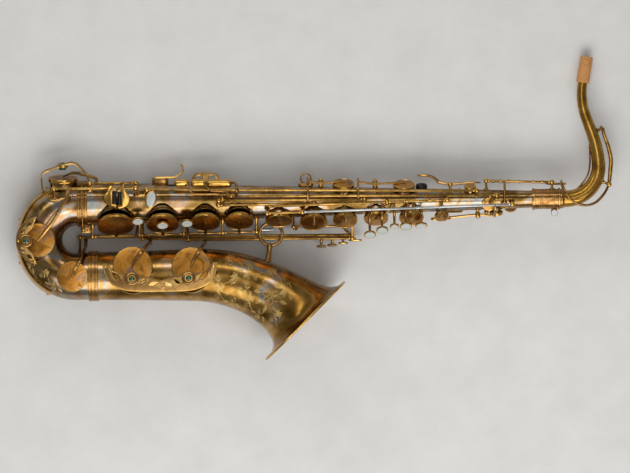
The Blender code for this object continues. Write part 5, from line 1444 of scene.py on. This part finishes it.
print("guards stand", GUARD_LEVEL / MM, "mm above the horn's middle plane")


# %% Pierced leaves
def leaf(start, end, half):
    """The outline of a leaf between two points of the XY plane, in millimetres, pointed at both."""
    start, way = Vector(start), Vector(end) - Vector(start)
    side = Vector((-way.y, way.x)).normalized() * half
    spots = [i / 12 for i in range(13)]
    upper = [start + way * t + side * sin(pi * t) for t in spots]
    lower = [start + way * t - side * sin(pi * t) for t in spots[-2:0:-1]]
    return [tuple(point * MM) for point in upper + lower]


def pierce(piece, outlines, frame):
    """Saws holes of some outlines through a plate in the XY plane of a frame and beads their edges."""
    saw = bmesh.new()
    for outline in outlines:
        low, high = [[saw.verts.new(frame @ Vector((x, y, z))) for x, y in outline]
                     for z in (-SAW_REACH, SAW_REACH)]
        sides = [saw.faces.new((low[k - 1], low[k], high[k], high[k - 1])) for k in range(len(outline))]
        bmesh.ops.recalc_face_normals(saw, faces=sides + [saw.faces.new(low), saw.faces.new(high)])
    piece.cut(saw)
    for outline in outlines:
        piece.sweep([frame @ Vector((x, y, 0.0008)) for x, y in outline], 0.0005, "touch", 6, 1, ring=True)


level = Matrix.Translation((0, 0, GUARD_LEVEL))
print("points round a leaf:", len(leaf((0, 0), (10, 0), 3)))

# %% Low C guard
guard = Piece("low_c_guard_brass", "horn", ("low_c_guard",), finish="guard")
centre = (-0.06, bow_point(pi / 2).y)
crescent = arc(centre, 0.0345, radians(97), radians(263), 49)
crescent += arc(centre, 0.0205, radians(236), radians(124), 33)
guard.plate(crescent, GUARD_SHEET, level)


def polar(radius, degrees):
    """A point round the crescent's centre, in millimetres."""
    return centre[0] / MM + radius * cos(radians(degrees)), centre[1] / MM + radius * sin(radians(degrees))


# Two leaves on each side, each from a radius and degrees to a radius and degrees
pierce(guard, [leaf(polar(r, 180 + side * a), polar(s, 180 + side * b), 2.7) for side in (-1, 1)
               for r, a, s, b in ((29.5, 68, 27, 43), (27.5, 39, 29.5, 20))], level)
boss(guard, -0.08, centre[1])
for x, y, foot in ((-68, -22.5, 28.2), (-68, -82.5, 29.2), (-91.5, -52.5, 12.5)):
    leg(guard, x, y, foot)
guard.done()

# %% Guard of the bell keys
guard = Piece("bell_key_guard_brass", "horn", ("bell_key_guard",), finish="guard")
# Half of its outline, mirrored at the station in the middle
MIDDLE = 113
outer = [(31, -87), (34, -103), (45, -117), (64, -125), (90, -127), (MIDDLE, -127)]
inner = [(MIDDLE, -112), (101, -108), (88, -105), (72, -100), (58, -101), (45, -96), (37, -87)]
outer, inner = smooth_line(outer), smooth_line(inner)


def mirrored(points):
    """The other half, from the middle on."""
    return [Vector((2 * MIDDLE * MM - point[0], *point[1:])) for point in reversed(points)]


lower_edge = outer + mirrored(outer)[1:]
outline = lower_edge + mirrored(inner) + inner[1:]
guard.plate([tuple(point[:2]) for point in outline], GUARD_SHEET, level)
leaves = [leaf(*ends) for ends in (((43, -98), (57, -113), 3.8), ((84, -118), (93, -109), 2.6),
                                   ((95, -119), (110, -115), 2.6))]
leaves += [[tuple(point) for point in mirrored([Vector(p) for p in hole])] for hole in leaves]
pierce(guard, leaves, level)
guard.sweep([level @ point for point in lower_edge[::3]], 0.0013, "touch", 10, 3)
for x in (0.072, 0.154):
    boss(guard, x, -0.109)
for x, y, foot in ((34, -91, 32), (190, -91, 34), (117, -122, 32.6)):
    leg(guard, x, y, foot)
guard.done()

# %% Low Eb guard
guard = Piece("low_eb_guard_brass", "horn", ("low_eb_guard",), finish="guard")
base = Vector((0, bow_point(EB_TURN).y, 0.004))
side_on = Matrix((Vector((1, 0, 0)), EB_OUT, Vector((1, 0, 0)).cross(EB_OUT))).transposed().to_4x4()
side_on.translation = base
# A strap of sheet on edge, bent over the cup: stations and heights out of the bow, in millimetres
rise = [(-58, 14), (-58.5, 30), (-59, 44), (-55, 51), (-33, 59), (-16, 64), (-8, 62), (1, 53), (8, 44),
        (12, 20)]
STRAP_WIDTH, EB_BOSS_RISE = 0.012, 0.0604
guard.plate(ribbon(rise, GUARD_SHEET), STRAP_WIDTH, side_on, edge=0.08)
for edge in (-6, 6):
    guard.sweep([side_on @ mm(x, w, edge) for x, w in rise], 0.0009, "touch", 8, 4)
over = facing(Vector((LOW_EB_STATION * MM, base.y, base.z)) + EB_OUT * EB_BOSS_RISE, EB_OUT)
for profile, sides, finish in (
        ([(0, 0.003), (0.0066, 0.003), (0.0078, 0.0022), (0.008, -0.0022), (0.007, -0.003), (0, -0.003)],
         48, None),
        ([(0, 0.0046), (0.0018, 0.0043), (0.003, 0.0034), (0.003, 0.003), (0, 0.003)], 24, "stone"),
        ([(0, -0.003), (0.005, -0.003), (0.005, -0.006), (0, -0.006)], 24, "green_felt")):
    guard.lathe(profile, over, sides, finish)
guard.done()

# %% Strip round the bow
strip = Piece("bow_guard_brass", "horn", ("bow_guard",), finish="touch")
RIGHT = Vector((0, 0, 1))
STRIP_STARTS, STRIP_RUNS, STRIP_STEPS = 0.45, 2.25, 90
# The strip's section, bent to the tube: height above it in millimetres, degrees round from the outside
STRIP_SECTION = [(0.4, -32), (1.5, -32.5), (2.5, -31), (2.4, -28), (1.8, -26)]
STRIP_SECTION += [(1.8, a) for a in (-17, -8, 0, 8, 17)] + [(up, -a) for up, a in reversed(STRIP_SECTION)]
STRIP_SECTION += [(0.4, 0)]
loops = []
for i in range(STRIP_STEPS + 1):
    turn = STRIP_STARTS + STRIP_RUNS * i / STRIP_STEPS
    loops.append([bow_point(turn) + (bow_radius(turn) + up * MM)
                  * (cos(radians(a)) * bow_out(turn) + sin(radians(a)) * RIGHT) for up, a in STRIP_SECTION])
strip.skin(loops)
strip.done()
for turn in (0.5, 1.2, 1.95, 2.65):
    SCREWS.append((BOW_AXIS + (BOW_RADIUS + bow_radius(turn) + 0.0026) * bow_out(turn), bow_out(turn)))

# %% [markdown]
# Small fittings: a bent ring braces the bell against the body, a strap ring and a thumb hook carry the horn's
# weight, an arched plate stands beside the side touches, and the left thumb has a black rest.

# %% Brace, strap ring and thumb hook
brace = Piece("bell_brace_brass", "horn", ("bell_brace",))
centre = mm(273, -47, -8.5)
circle = [Vector((cos(a), sin(a), 0)) for a in round_angles(24)]
brace.sweep([centre + 0.0165 * point for point in circle], 0.0022, ring=True, flat=1.1, steps=3)
for points, radii in ((((0, 15.5, 0), (0, 20, -2), (0, 25.5, -4.2)), (0.003, 0.0034, 0.0046)),
                      (((-2, -16, 0), (-3, -26, 1), (-4.5, -40, 2.5)), (0.0046, 0.0038, 0.005))):
    brace.sweep([centre + mm(*point) for point in points], radii)
brace.lathe(ball_profile(0.0042, 12), Matrix.Translation(centre + mm(-2.2, -19, 0.5)), 28, "rod")
brace.done()

ring = Piece("strap_ring_brass", "horn", ("strap_ring",))
ring.sweep([mm(324.5, 33.4, 0) + 0.0074 * point for point in circle], 0.0012, ring=True, steps=3)
ring.plate(pill(0.022, 0.008), 0.0045, facing(mm(324.5, 24.1, 0), (0, 1, 0)), dome=0.0004)
ring.done()

hook = Piece("thumb_hook_brass", "horn", ("thumb_hook",), finish="touch")
path = [(104, 37), (118, 37.1), (132, 37.5), (141, 40.5), (146, 46), (145.5, 52), (143, 57)]
hook.plate(ribbon(path, 0.0026), 0.013, edge=0.09)
hook.plate(pill(0.024, 0.012), 0.009, facing(mm(113, 32.2, 0), (0, 1, 0)), "key", 0.15)
hook.done()

# %% Key guide, adjusting screw and thumb rest
arch = Piece("key_guide_brass", "horn", finish="guard")
outline = [(158, 25), (159, 35), (162, 41), (168, 43.6), (179, 44), (190, 43.6), (196, 41), (199, 35),
           (200, 23.5)]
arch.plate([tuple(point[:2]) for point in smooth_line(outline, 5)], GUARD_SHEET, edge=0.25)
pierce(arch, [arc(mm(x, 35.5), 0.0048, 0, 2 * pi, 25)[:-1] for x in (170, 188)], Matrix())
arch.done()

screw = Piece("adjusting_screw_steel", "horn", finish="steel", slot="steel")
ahead = facing(mm(248, -40.5, -14), (1, 0, 0), (0, 0, 1))
screw.lathe([(0, 0), (0.0018, 0.0002), (0.0024, 0.001), (0.0024, 0.008), (0.0019, 0.0086), (0.0019, 0.0096),
             (0.0024, 0.0102), (0.0024, 0.025), (0.0017, 0.0262), (0.0017, 0.0276), (0.0021, 0.028),
             (0.0018, 0.0292), (0, 0.0294)], ahead, 32)
screw.sweep([mm(252, -30, -16), mm(253, -36, -15.5), mm(254, -40, -14.5)], 0.0015, "key")
screw.done()

rest = Piece("thumb_rest_resin", "horn", ("thumb_rest",), finish="roller", slot="black_plastic")
rest.lathe([(0, 0.0252), (0.004, 0.025), (0.0066, 0.0241), (0.008, 0.0226), (0.0085, 0.0208),
            (0.0085, 0.0165), (0, 0.0165)], facing(mm(492.5, 0, 0), (0, 1, 0)), 48)
rest.done()

# %% [markdown]
# ## Receiver and neck
#
# The receiver is a turned socket with two ears, split by a saw and clamped on the neck's tenon by a screw
# with a milled head.

# %% Receiver and its screw
SCREW_BACK, SCREW_TEETH = 0.009, 22
EAR_REACH, EAR_WIDTH, EAR_THICKNESS, EAR_SPLIT, SCREW_RADIUS = 0.006, 0.009, 0.0032, 0.002, 0.0019
start, end = BODY_LENGTH - 0.006, RECEIVER_END
tall, r = RECEIVER_RADIUS + 0.001, RECEIVER_RADIUS
receiver = Piece("neck_receiver_brass", "horn", ("neck_receiver",))
outer = [(tall - 0.0003, start), (tall, start + 0.0004), (tall, start + 0.0036), (r, start + 0.0042)]
outer += [(r, start + 0.012), (r + 0.0004, start + 0.0124), (r + 0.0004, start + 0.014), (r, start + 0.0144)]
outer += [(r, end - 0.011), (r + 0.0004, end - 0.0106), (r + 0.0004, end - 0.009), (r, end - 0.0086)]
outer += [(r, end - 0.0035), (tall, end - 0.003), (tall, end - 0.0004), (tall - 0.0004, end)]
receiver.lathe(outer + [(RECEIVER_BORE, end), (RECEIVER_BORE, start)], X_AXIS, 96, closed=True)
screw = Vector((RECEIVER_END - SCREW_BACK, -RECEIVER_RADIUS - EAR_REACH, 0))
half = EAR_WIDTH / 2
root = -(RECEIVER_RADIUS + RECEIVER_BORE) / 2
outline = arc(screw, half, pi, 2 * pi, 25) + [(screw.x + half, root), (screw.x - half, root)]
for side in (1, -1):
    receiver.plate(outline, EAR_THICKNESS, Matrix.Translation((0, 0, side * (EAR_SPLIT + EAR_THICKNESS) / 2)))
saw = bmesh.new()
bmesh.ops.create_cube(saw, size=1, matrix=Matrix.Translation((screw.x, -0.0165, 0))
                      @ Matrix.Diagonal((0.022, 0.008, EAR_SPLIT * 0.6, 1)))
receiver.cut(saw)
receiver.done()

knob = Piece("neck_screw_steel", "neck_screw", ("neck_screw",), Matrix.Translation(screw), "steel", "steel")
depth = EAR_SPLIT / 2 + EAR_THICKNESS
head, wide = depth + CLEARANCE, 2.6 * SCREW_RADIUS
knob.lathe([(0, -depth - 0.002), (SCREW_RADIUS * 0.8, -depth - 0.002), (SCREW_RADIUS, -depth - 0.0014),
            (SCREW_RADIUS, head), (wide * 0.9, head), (wide * 0.94, head + 0.0003),
            (wide * 0.94, head + 0.0026), (wide * 0.84, head + 0.003), (0, head + 0.003)])
for angle in round_angles(SCREW_TEETH):
    tooth = Matrix.Rotation(angle, 4, "Z")
    knob.sweep([tooth @ Vector((wide * 0.93, 0, head + z)) for z in (0.0005, 0.0015, 0.0025)], 0.0005,
               sides=6, steps=1)
knob.done()

# %% [markdown]
# The neck is a bent taper of the same brass, with a brace soldered inside its bend, an octave pip under the
# pad of a loop-shaped key, and a cork sleeve for the mouthpiece. Its centre line is walked in short steps
# from the receiver, each with its share of a bend.

# %% Centre line of the neck
NECK_TIP_RADIUS, NECK_WALL, NECK_TAPER, CORK_LENGTH = 0.007, 0.001, 1.2, 0.038
CORK_BASE_RADIUS, CORK_TIP_RADIUS = 0.0095, 0.00885
NECK_FOOT_RADIUS = RECEIVER_BORE - CLEARANCE
# Length, bend and the CAD model's number of steps of each run
NECK_RUNS = ((0.009, 0.0, 1), (0.047 * radians(93), radians(93), 7), (0.16 * radians(17), radians(17), 3),
             (0.024, 0.0, 1), (0.097 * radians(30), -radians(30), 4), (CORK_LENGTH, 0.0, 1))
PIVOT_STEP, PIP_STEP, FINER = 6, 11, 6


def neck_line():
    """Points and headings up the neck's centre line, in finer steps than the CAD model's."""
    place, heading = Vector((RECEIVER_END + CLEARANCE, 0, 0)), 0.0
    line = [(place.copy(), heading)]
    for length, turn, steps in NECK_RUNS:
        for _ in range(steps * FINER):
            heading += turn / steps / FINER / 2
            place += length / steps / FINER * Vector((cos(heading), sin(heading), 0))
            heading += turn / steps / FINER / 2
            line.append((place.copy(), heading))
    return line


def neck_radii(line):
    """The neck's radius at each of those points."""
    runs = [0.0]
    for (first, _), (second, _) in zip(line, line[1:]):
        runs.append(runs[-1] + (second - first).length)
    taper = runs[-1] - CORK_LENGTH
    return [NECK_TIP_RADIUS + (NECK_FOOT_RADIUS - NECK_TIP_RADIUS) * max(1 - run / taper, 0) ** NECK_TAPER
            for run in runs]


line = neck_line()
radii = neck_radii(line)


def neck_side(step, side):
    """A place on the centre line at a step, the neck's radius there and the way to a side of the bend."""
    place, heading = line[step * FINER]
    return place, radii[step * FINER], side * Vector((-sin(heading), cos(heading), 0))


print("neck runs to", [round(x / MM) for x in line[-1][0]], "mm")

# %% Neck tube
neck = Piece("neck_tube_brass", "neck", ("neck_tube",), finish="neck", slot="aged_brass")
tenon = (Vector((BODY_LENGTH + 0.001, 0, 0)), (1, 0, 0), NECK_FOOT_RADIUS)
tube_skin(neck, [tenon] + [(p, (cos(h), sin(h), 0), r) for (p, h), r in zip(line, radii)], NECK_WALL, 64)
start, high = RECEIVER_END + CLEARANCE, RECEIVER_RADIUS - 0.0006
neck.lathe([(NECK_FOOT_RADIUS - 0.0004, start), (high - 0.0004, start), (high, start + 0.0006),
            (high, start + 0.003), (high - 0.0006, start + 0.0038),
            (NECK_FOOT_RADIUS + 0.0006, start + 0.0052), (NECK_FOOT_RADIUS - 0.0004, start + 0.0057)],
           X_AXIS, 96, "key", closed=True)
spot, wall, out = neck_side(PIP_STEP, -1)
pip = facing(spot + out * (wall - 0.0006), out, (0, 0, 1))
neck.lathe([(0.0013, 0.0046), (0.002, 0.0046), (0.0023, 0.0042), (0.0024, 0.0016), (0.0042, 0.0008),
            (0.0044, 0), (0.0013, 0)], pip, 32, "key", closed=True)
# The brace leaves the neck inside its bend and comes back to it
brace_line = []
for step, lift in ((3, -0.0008), (4, 0.0016), (6, 0.003), (8, 0.003), (9, 0.0016), (10, -0.0008)):
    place, radius, inward = neck_side(step, 1)
    brace_line.append(place + (radius + lift) * inward)
neck.sweep(brace_line, 0.0014, "key", flat=2.0, up=(0, 0, 1))
neck.done()

# %% Cork and neck octave key
pivot, apart = mm(765, 20, 0), mm(0, 0, 6.5)
under = neck_side(PIVOT_STEP, 1)[:2]
gathered("neck_posts_brass", post_meshes([(pivot + side * apart, *under) for side in (1, -1)]), "neck")

cork = Piece("neck_cork_sleeve", "neck", ("neck_cork",), finish="cork", slot="cork")
base, lean = line[-1 - FINER][0], line[-1][1]
b, t, sleeve = CORK_BASE_RADIUS, CORK_TIP_RADIUS, NECK_TIP_RADIUS + 0.00005
cork.lathe([(t - 0.0003, CORK_LENGTH), (t, CORK_LENGTH - 0.0005), (0.5 * (b + t), CORK_LENGTH / 2),
            (b, 0.0007), (b - 0.0006, 0), (sleeve, 0), (sleeve, CORK_LENGTH)],
           facing(base, (cos(lean), sin(lean), 0), (0, 0, 1)), 72, closed=True)
cork.done()

octave = Piece("neck_octave_key_brass", "neck_octave_key", ("neck_octave_key",))
reach = apart.z - POST_GAP - CLEARANCE
octave.lathe([(0, -reach), (HINGE_RADIUS, -reach), (HINGE_RADIUS, reach), (0, reach)],
             Matrix.Translation(pivot), 24)
pad = spot + out * (wall + 0.004 + CUP_SEAT)
over = [mm(767.2, 40, 0), mm(768.2, 57, 0), mm(764.3, 76, 0), mm(758.2, 94, 0)]
octave.sweep([pivot, *over, pad + out * 0.004], [0.0026, 0.0032, 0.0033, 0.003, 0.0026, 0.0022], "rod",
             flat=0.7, up=(0, 0, 1))
seat = facing(pad, out, (0, 0, 1))
octave.lathe([(0, 0.0042), (0.0036, 0.004), (0.0044, 0.003), (0.0045, 0.0006), (0.0042, 0.0004), (0, 0.0004)],
             seat, 32)
octave.lathe([(0, 0.0005), (0.004, 0.0005), (0.004, 0), (0, 0)], seat, 24, "felt")
# Half of the loop round the neck, then its mirror image
half_loop = [mm(758, 7, 10), mm(746, -5.4, 16.5), mm(730, -10, 20), mm(711, -3.6, 22.5), mm(702, 8, 23.5),
             mm(697, 19.5, 17), mm(696, 23.5, 11)]
other_half = [Vector((p.x, p.y, -p.z)) for p in reversed(half_loop)]
loop = [mm(764, 18, 0), *half_loop, mm(695.5, 26, 0), *other_half]
octave.sweep(loop, 0.0017, steps=6, ring=True)
octave.done()

# %% [markdown]
# ## Ribs, flanges and engraving
#
# Posts that stand in a row are brazed to a rib, a strip of sheet bent to the tube, and a lone one on the
# bow has a round flange.

# %% Ribs and flange
RIB_STEPS, RIB_BENDS = 40, 8
ribs = Piece("post_rib_brass", "horn", finish="body", slot="aged_brass")
# First and last station of each rib, and the degrees of its edges round the tube
for first, last, low, high in ((84, 560, 90, 115), (296, 400, -46, -36)):
    bent = [radians(low + (high - low) * k / RIB_BENDS) for k in range(RIB_BENDS + 1)]
    section = [(a, -0.0004) for a in bent] + [(a, 0.0009) for a in reversed(bent)]
    loops = []
    for i in range(RIB_STEPS + 1):
        x = (first + (last - first) * i / RIB_STEPS) * MM
        loops.append([Vector((x, -cos(a) * (body_radius(x) + rise), sin(a) * (body_radius(x) + rise)))
                      for a, rise in section])
    ribs.skin(loops)
foot = bow_point(post_turn)
out = (mm(*LOW_C_HINGE) - foot).normalized()
ribs.lathe([(0, 0.0012), (0.0084, 0.001), (0.0092, 0.0004), (0.0094, -0.0018), (0, -0.0018)],
           facing(foot + out * bow_radius(post_turn), out), 48, "key")
ribs.done()

# %% [markdown]
# The bell and the bow carry an engraver's scrollwork of vines, leaves and flowers. It is drawn on a flat
# sheet, as an engraver draws it: s runs down from the rim and t round the tube, in millimetres. Each stroke
# swells in the middle, as the tool is leant over, and Geometry Nodes lay a bright thread of that width along
# it, sunk in the brass so that only its back shows.

# %% Strokes of the scrollwork
def spiral(s, t, size, start, turns):
    """A stroke that curls in on itself from a start angle in degrees."""
    steps = int(12 * abs(turns)) + 2
    angles = [radians(start) + 2 * pi * turns * i / (steps - 1) for i in range(steps)]
    return [(s + size * (1 - 0.8 * i / steps) * cos(a), t + size * (1 - 0.8 * i / steps) * sin(a))
            for i, a in enumerate(angles)]


def blade(s, t, length, degrees, bend):
    """One curved stroke of a leaf."""
    way = Vector((cos(radians(degrees)), sin(radians(degrees))))
    side = Vector((-way.y, way.x))
    return [tuple(Vector((s, t)) + way * length * k / 8 + side * bend * sin(pi * k / 8)) for k in range(9)]


def leaf_strokes(s, t, length, degrees):
    """A leaf: two sides, a rib and side veins."""
    strokes = [blade(s, t, length, degrees, bend * length) for bend in (0.22, -0.22, 0.03)]
    way = Vector((cos(radians(degrees)), sin(radians(degrees)))) * length
    for share in (0.25, 0.45, 0.65):
        strokes += [blade(s + way.x * share, t + way.y * share, 0.26 * length, degrees + turn, 0.0)
                    for turn in (34, -34)]
    return strokes


def flower(s, t, size):
    """A flower of six petals round a ring."""
    strokes = [spiral(s, t, 0.24 * size, 0, 1)]
    for k, a in enumerate(round_angles(6)):
        strokes += [blade(s + 0.22 * size * cos(a), t + 0.22 * size * sin(a), 0.8 * size, 60 * k, bend * size)
                    for bend in (0.26, -0.26)]
    return strokes


def garland(first, last, middle, wave, height, phase):
    """A vine along s round a middle line, with a curl and four leaves in every half wave."""
    count = int((last - first) / 3)
    spots = [first + (last - first) * i / count for i in range(count + 1)]
    strokes = [[(s, middle + height * sin(2 * pi * (s - first) / wave + phase)) for s in spots]]
    half = 0
    while first + (half + 0.5) * wave / 2 < last:
        s = first + (half + 0.5) * wave / 2
        side = 1 if sin(2 * pi * (s - first) / wave + phase) > 0 else -1
        strokes += [spiral(s, middle, share * height, -90 * side, 1.6 * side) for share in (0.75, 0.62)]
        for shift, degrees in ((0, -24), (-wave / 8, 40), (wave / 8, -76), (0, 12)):
            tip = middle + 0.85 * side * height
            strokes += leaf_strokes(s + shift, tip, 1.2 * height, 90 * side + degrees)
        half += 1
    return strokes


# First and last place of each vine, its middle line, wave length, height and phase
BELL_VINES = ((34, 172, -25, 56, 9, 0.4), (26, 150, 30, 50, 9, 2.2), (88, 160, 2, 44, 7, 1.0))
BELL_SCROLL = [stroke for vine in BELL_VINES for stroke in garland(*vine)]
# A flower with a wreath of leaves, by its place down and round the bell and its size
down, round_to, wreath = 62, 2, 15
BELL_SCROLL += flower(down, round_to, 13)
for k, a in enumerate(round_angles(8)):
    BELL_SCROLL += leaf_strokes(down + wreath * cos(a), round_to + wreath * sin(a), 11, 45 * k + 20)
BOW_SCROLL = garland(14, 62, 18, 34, 6, 0.0) + flower(40, 36, 7)
print("engraved strokes:", len(BELL_SCROLL) + len(BOW_SCROLL))


# %% Engraving laid on bell and bow
def on_tube(centre, axis, radius, t):
    """A place round a tube, t millimetres from its right side, and the way out of it."""
    angle = t * MM / radius
    out = facing(Vector(), axis, (0, 0, 1)).to_3x3() @ Vector((cos(angle), sin(angle), 0))
    return centre + out * radius, out


def on_bell(s, t):
    """The same on the bell, s millimetres down from its rim."""
    distance = s * MM
    turn = max(0.0, (BELL_LENGTH - distance - BELL_STRAIGHT) / BELL_TURN_RADIUS)
    return on_tube(bell_point(distance), (cos(turn), -sin(turn), 0), bell_radius(distance), t)


def on_bow(s, t):
    """The same on the bow, s millimetres back from its bell end."""
    turn = pi - s * MM / BOW_RADIUS
    return on_tube(bow_point(turn), (-cos(turn), -sin(turn), 0), bow_radius(turn), t)


def thread_tree():
    """A round thread along chains of points, as wide as each point's width."""
    tree, given = node_tree("engraved_threads", [("Sides", "Int"), ("Material", "Material")])
    width = add_node(tree, "GeometryNodeInputNamedAttribute", {"data_type": "FLOAT", "Name": "width"})
    end_in_tube(tree, given, width.outputs["Attribute"], True)
    return tree


THREADS = thread_tree()
THREAD_THIN, THREAD_SWELL, THREAD_SHOWS, THREAD_SIDES = 0.00018, 0.00024, 0.0001, 8


def engrave(name, strokes, surface):
    """Threads for flat strokes, laid on a surface."""
    points, widths, chains = [], [], []
    for stroke in strokes:
        chains.append(range(len(points), len(points) + len(stroke)))
        for i, (s, t) in enumerate(stroke):
            place, out = surface(s, t)
            width = THREAD_THIN + THREAD_SWELL * sin(pi * i / (len(stroke) - 1))
            points.append(place - out * (width - THREAD_SHOWS))
            widths.append(width)
    threads = points_object(points, chains, width=widths)
    mesh = grow(THREADS, threads, Sides=THREAD_SIDES, Material=FINISH["cut"])
    for face in mesh.polygons:
        face.use_smooth = True
    gathered(name, [mesh])


engrave("bell_engraving_brass", BELL_SCROLL, on_bell)
engrave("bow_engraving_brass", BOW_SCROLL, on_bow)

# %% [markdown]
# ## Screws
#
# The guards and the bow strip are held by slotted screws with rounded heads. They are all alike, so the
# same node tree that set the posts sets them, each turned to face out of its plate.

# %% Screws
heads = Piece("head", finish="touch")
HEAD_RISE = 0.0011
heads.lathe([(0, HEAD_RISE), (0.0012, 0.001), (0.002, 0.0006), (0.0023, 0), (0.0023, -0.0006), (0, -0.0006)],
            sides=20)
slot = bmesh.new()
bmesh.ops.create_cube(slot, size=1, matrix=Matrix.Translation((0, 0, HEAD_RISE))
                      @ Matrix.Diagonal((0.006, 0.0006, 0.0009, 1)))
heads.cut(slot)
screws = stand(heads.blank(), [place for place, _ in SCREWS], [out for _, out in SCREWS], "touch")
gathered("guard_screws_brass", [screws])
print("screws:", len(SCREWS))

# %% [markdown]
# ## Floor, light and camera
#
# The horn lies on a plain pale floor, under a wide softbox, two weaker lamps and a weak even sky. The camera
# looks straight down at the table on the horn's right side, from far enough that the tubes keep their shape.

# %% Floor, lamps and sky
FLOOR_HALF, SKY_STRENGTH, LIT_PLACE = 6.0, 0.38, Vector((0, 0, 0.05))
floor_mesh = bmesh.new()
bmesh.ops.create_grid(floor_mesh, x_segments=1, y_segments=1, size=FLOOR_HALF)
floor_data = bpy.data.meshes.new("floor")
floor_mesh.to_mesh(floor_data)
floor_mesh.free()
floor = linked("floor", floor_data)
# Matt paint, almost even, so that only the horn's shadow marks it
floor_data.materials.append(plain("painted_floor", [(0.3, "#d6d4cf"), (0.7, "#dedcd8")], 60, 0.0, 0.7))

# Place in metres, width and height, and watts of each lamp
LAMPS = {"softbox": ((0.1, -1.15, 1.7), 2.6, 1.3, 27), "window": ((-0.5, 1.7, 1.2), 2.2, 0.4, 9),
         "overhead": ((0.1, 0.0, 2.4), 2.2, 0.9, 12)}
for name, (place, width, height, watts) in LAMPS.items():
    light = bpy.data.lights.new(name, "AREA")
    light.shape, light.size, light.size_y, light.energy = "RECTANGLE", width, height, watts
    lamp = linked(name, light)
    lamp.location = place
    lamp.rotation_euler = (LIT_PLACE - Vector(place)).to_track_quat("-Z", "Y").to_euler()
    lamp.visible_camera = False
world = bpy.data.worlds.new("studio")
bpy.context.scene.world = world
world.use_nodes = True
sky = world.node_tree.nodes["Background"]
sky.inputs["Color"].default_value = linear("#cfd2d6")
sky.inputs["Strength"].default_value = SKY_STRENGTH
print("lamps:", ", ".join(LAMPS), "watts:", sum(watts for *_, watts in LAMPS.values()))

# %% Camera
bpy.context.scene.view_settings.view_transform = "Standard"
# Width that the picture shows and the horn's place in its middle, in millimetres; roll and distance
PICTURE_WIDTH, PICTURE_CENTRE, ROLL, DISTANCE, SENSOR = 913.5, (337, -51, 20), radians(-0.63), 9.0, 36
up = HORN.to_3x3() @ Vector((0, 0, 1))
right = HORN.to_3x3() @ Vector((cos(ROLL), sin(ROLL), 0))
turn = Matrix((right, up.cross(right), up)).transposed().to_4x4()
middle = HORN @ mm(*PICTURE_CENTRE)
camera_data = bpy.data.cameras.new("camera")
camera_data.sensor_width = SENSOR
camera_data.lens = SENSOR * DISTANCE / (PICTURE_WIDTH * MM)
camera_data.clip_end = 60
camera = linked("camera", camera_data)
camera.matrix_world = Matrix.Translation(middle + up * DISTANCE) @ turn
bpy.context.scene.camera = camera
print("lens, mm:", round(camera_data.lens))
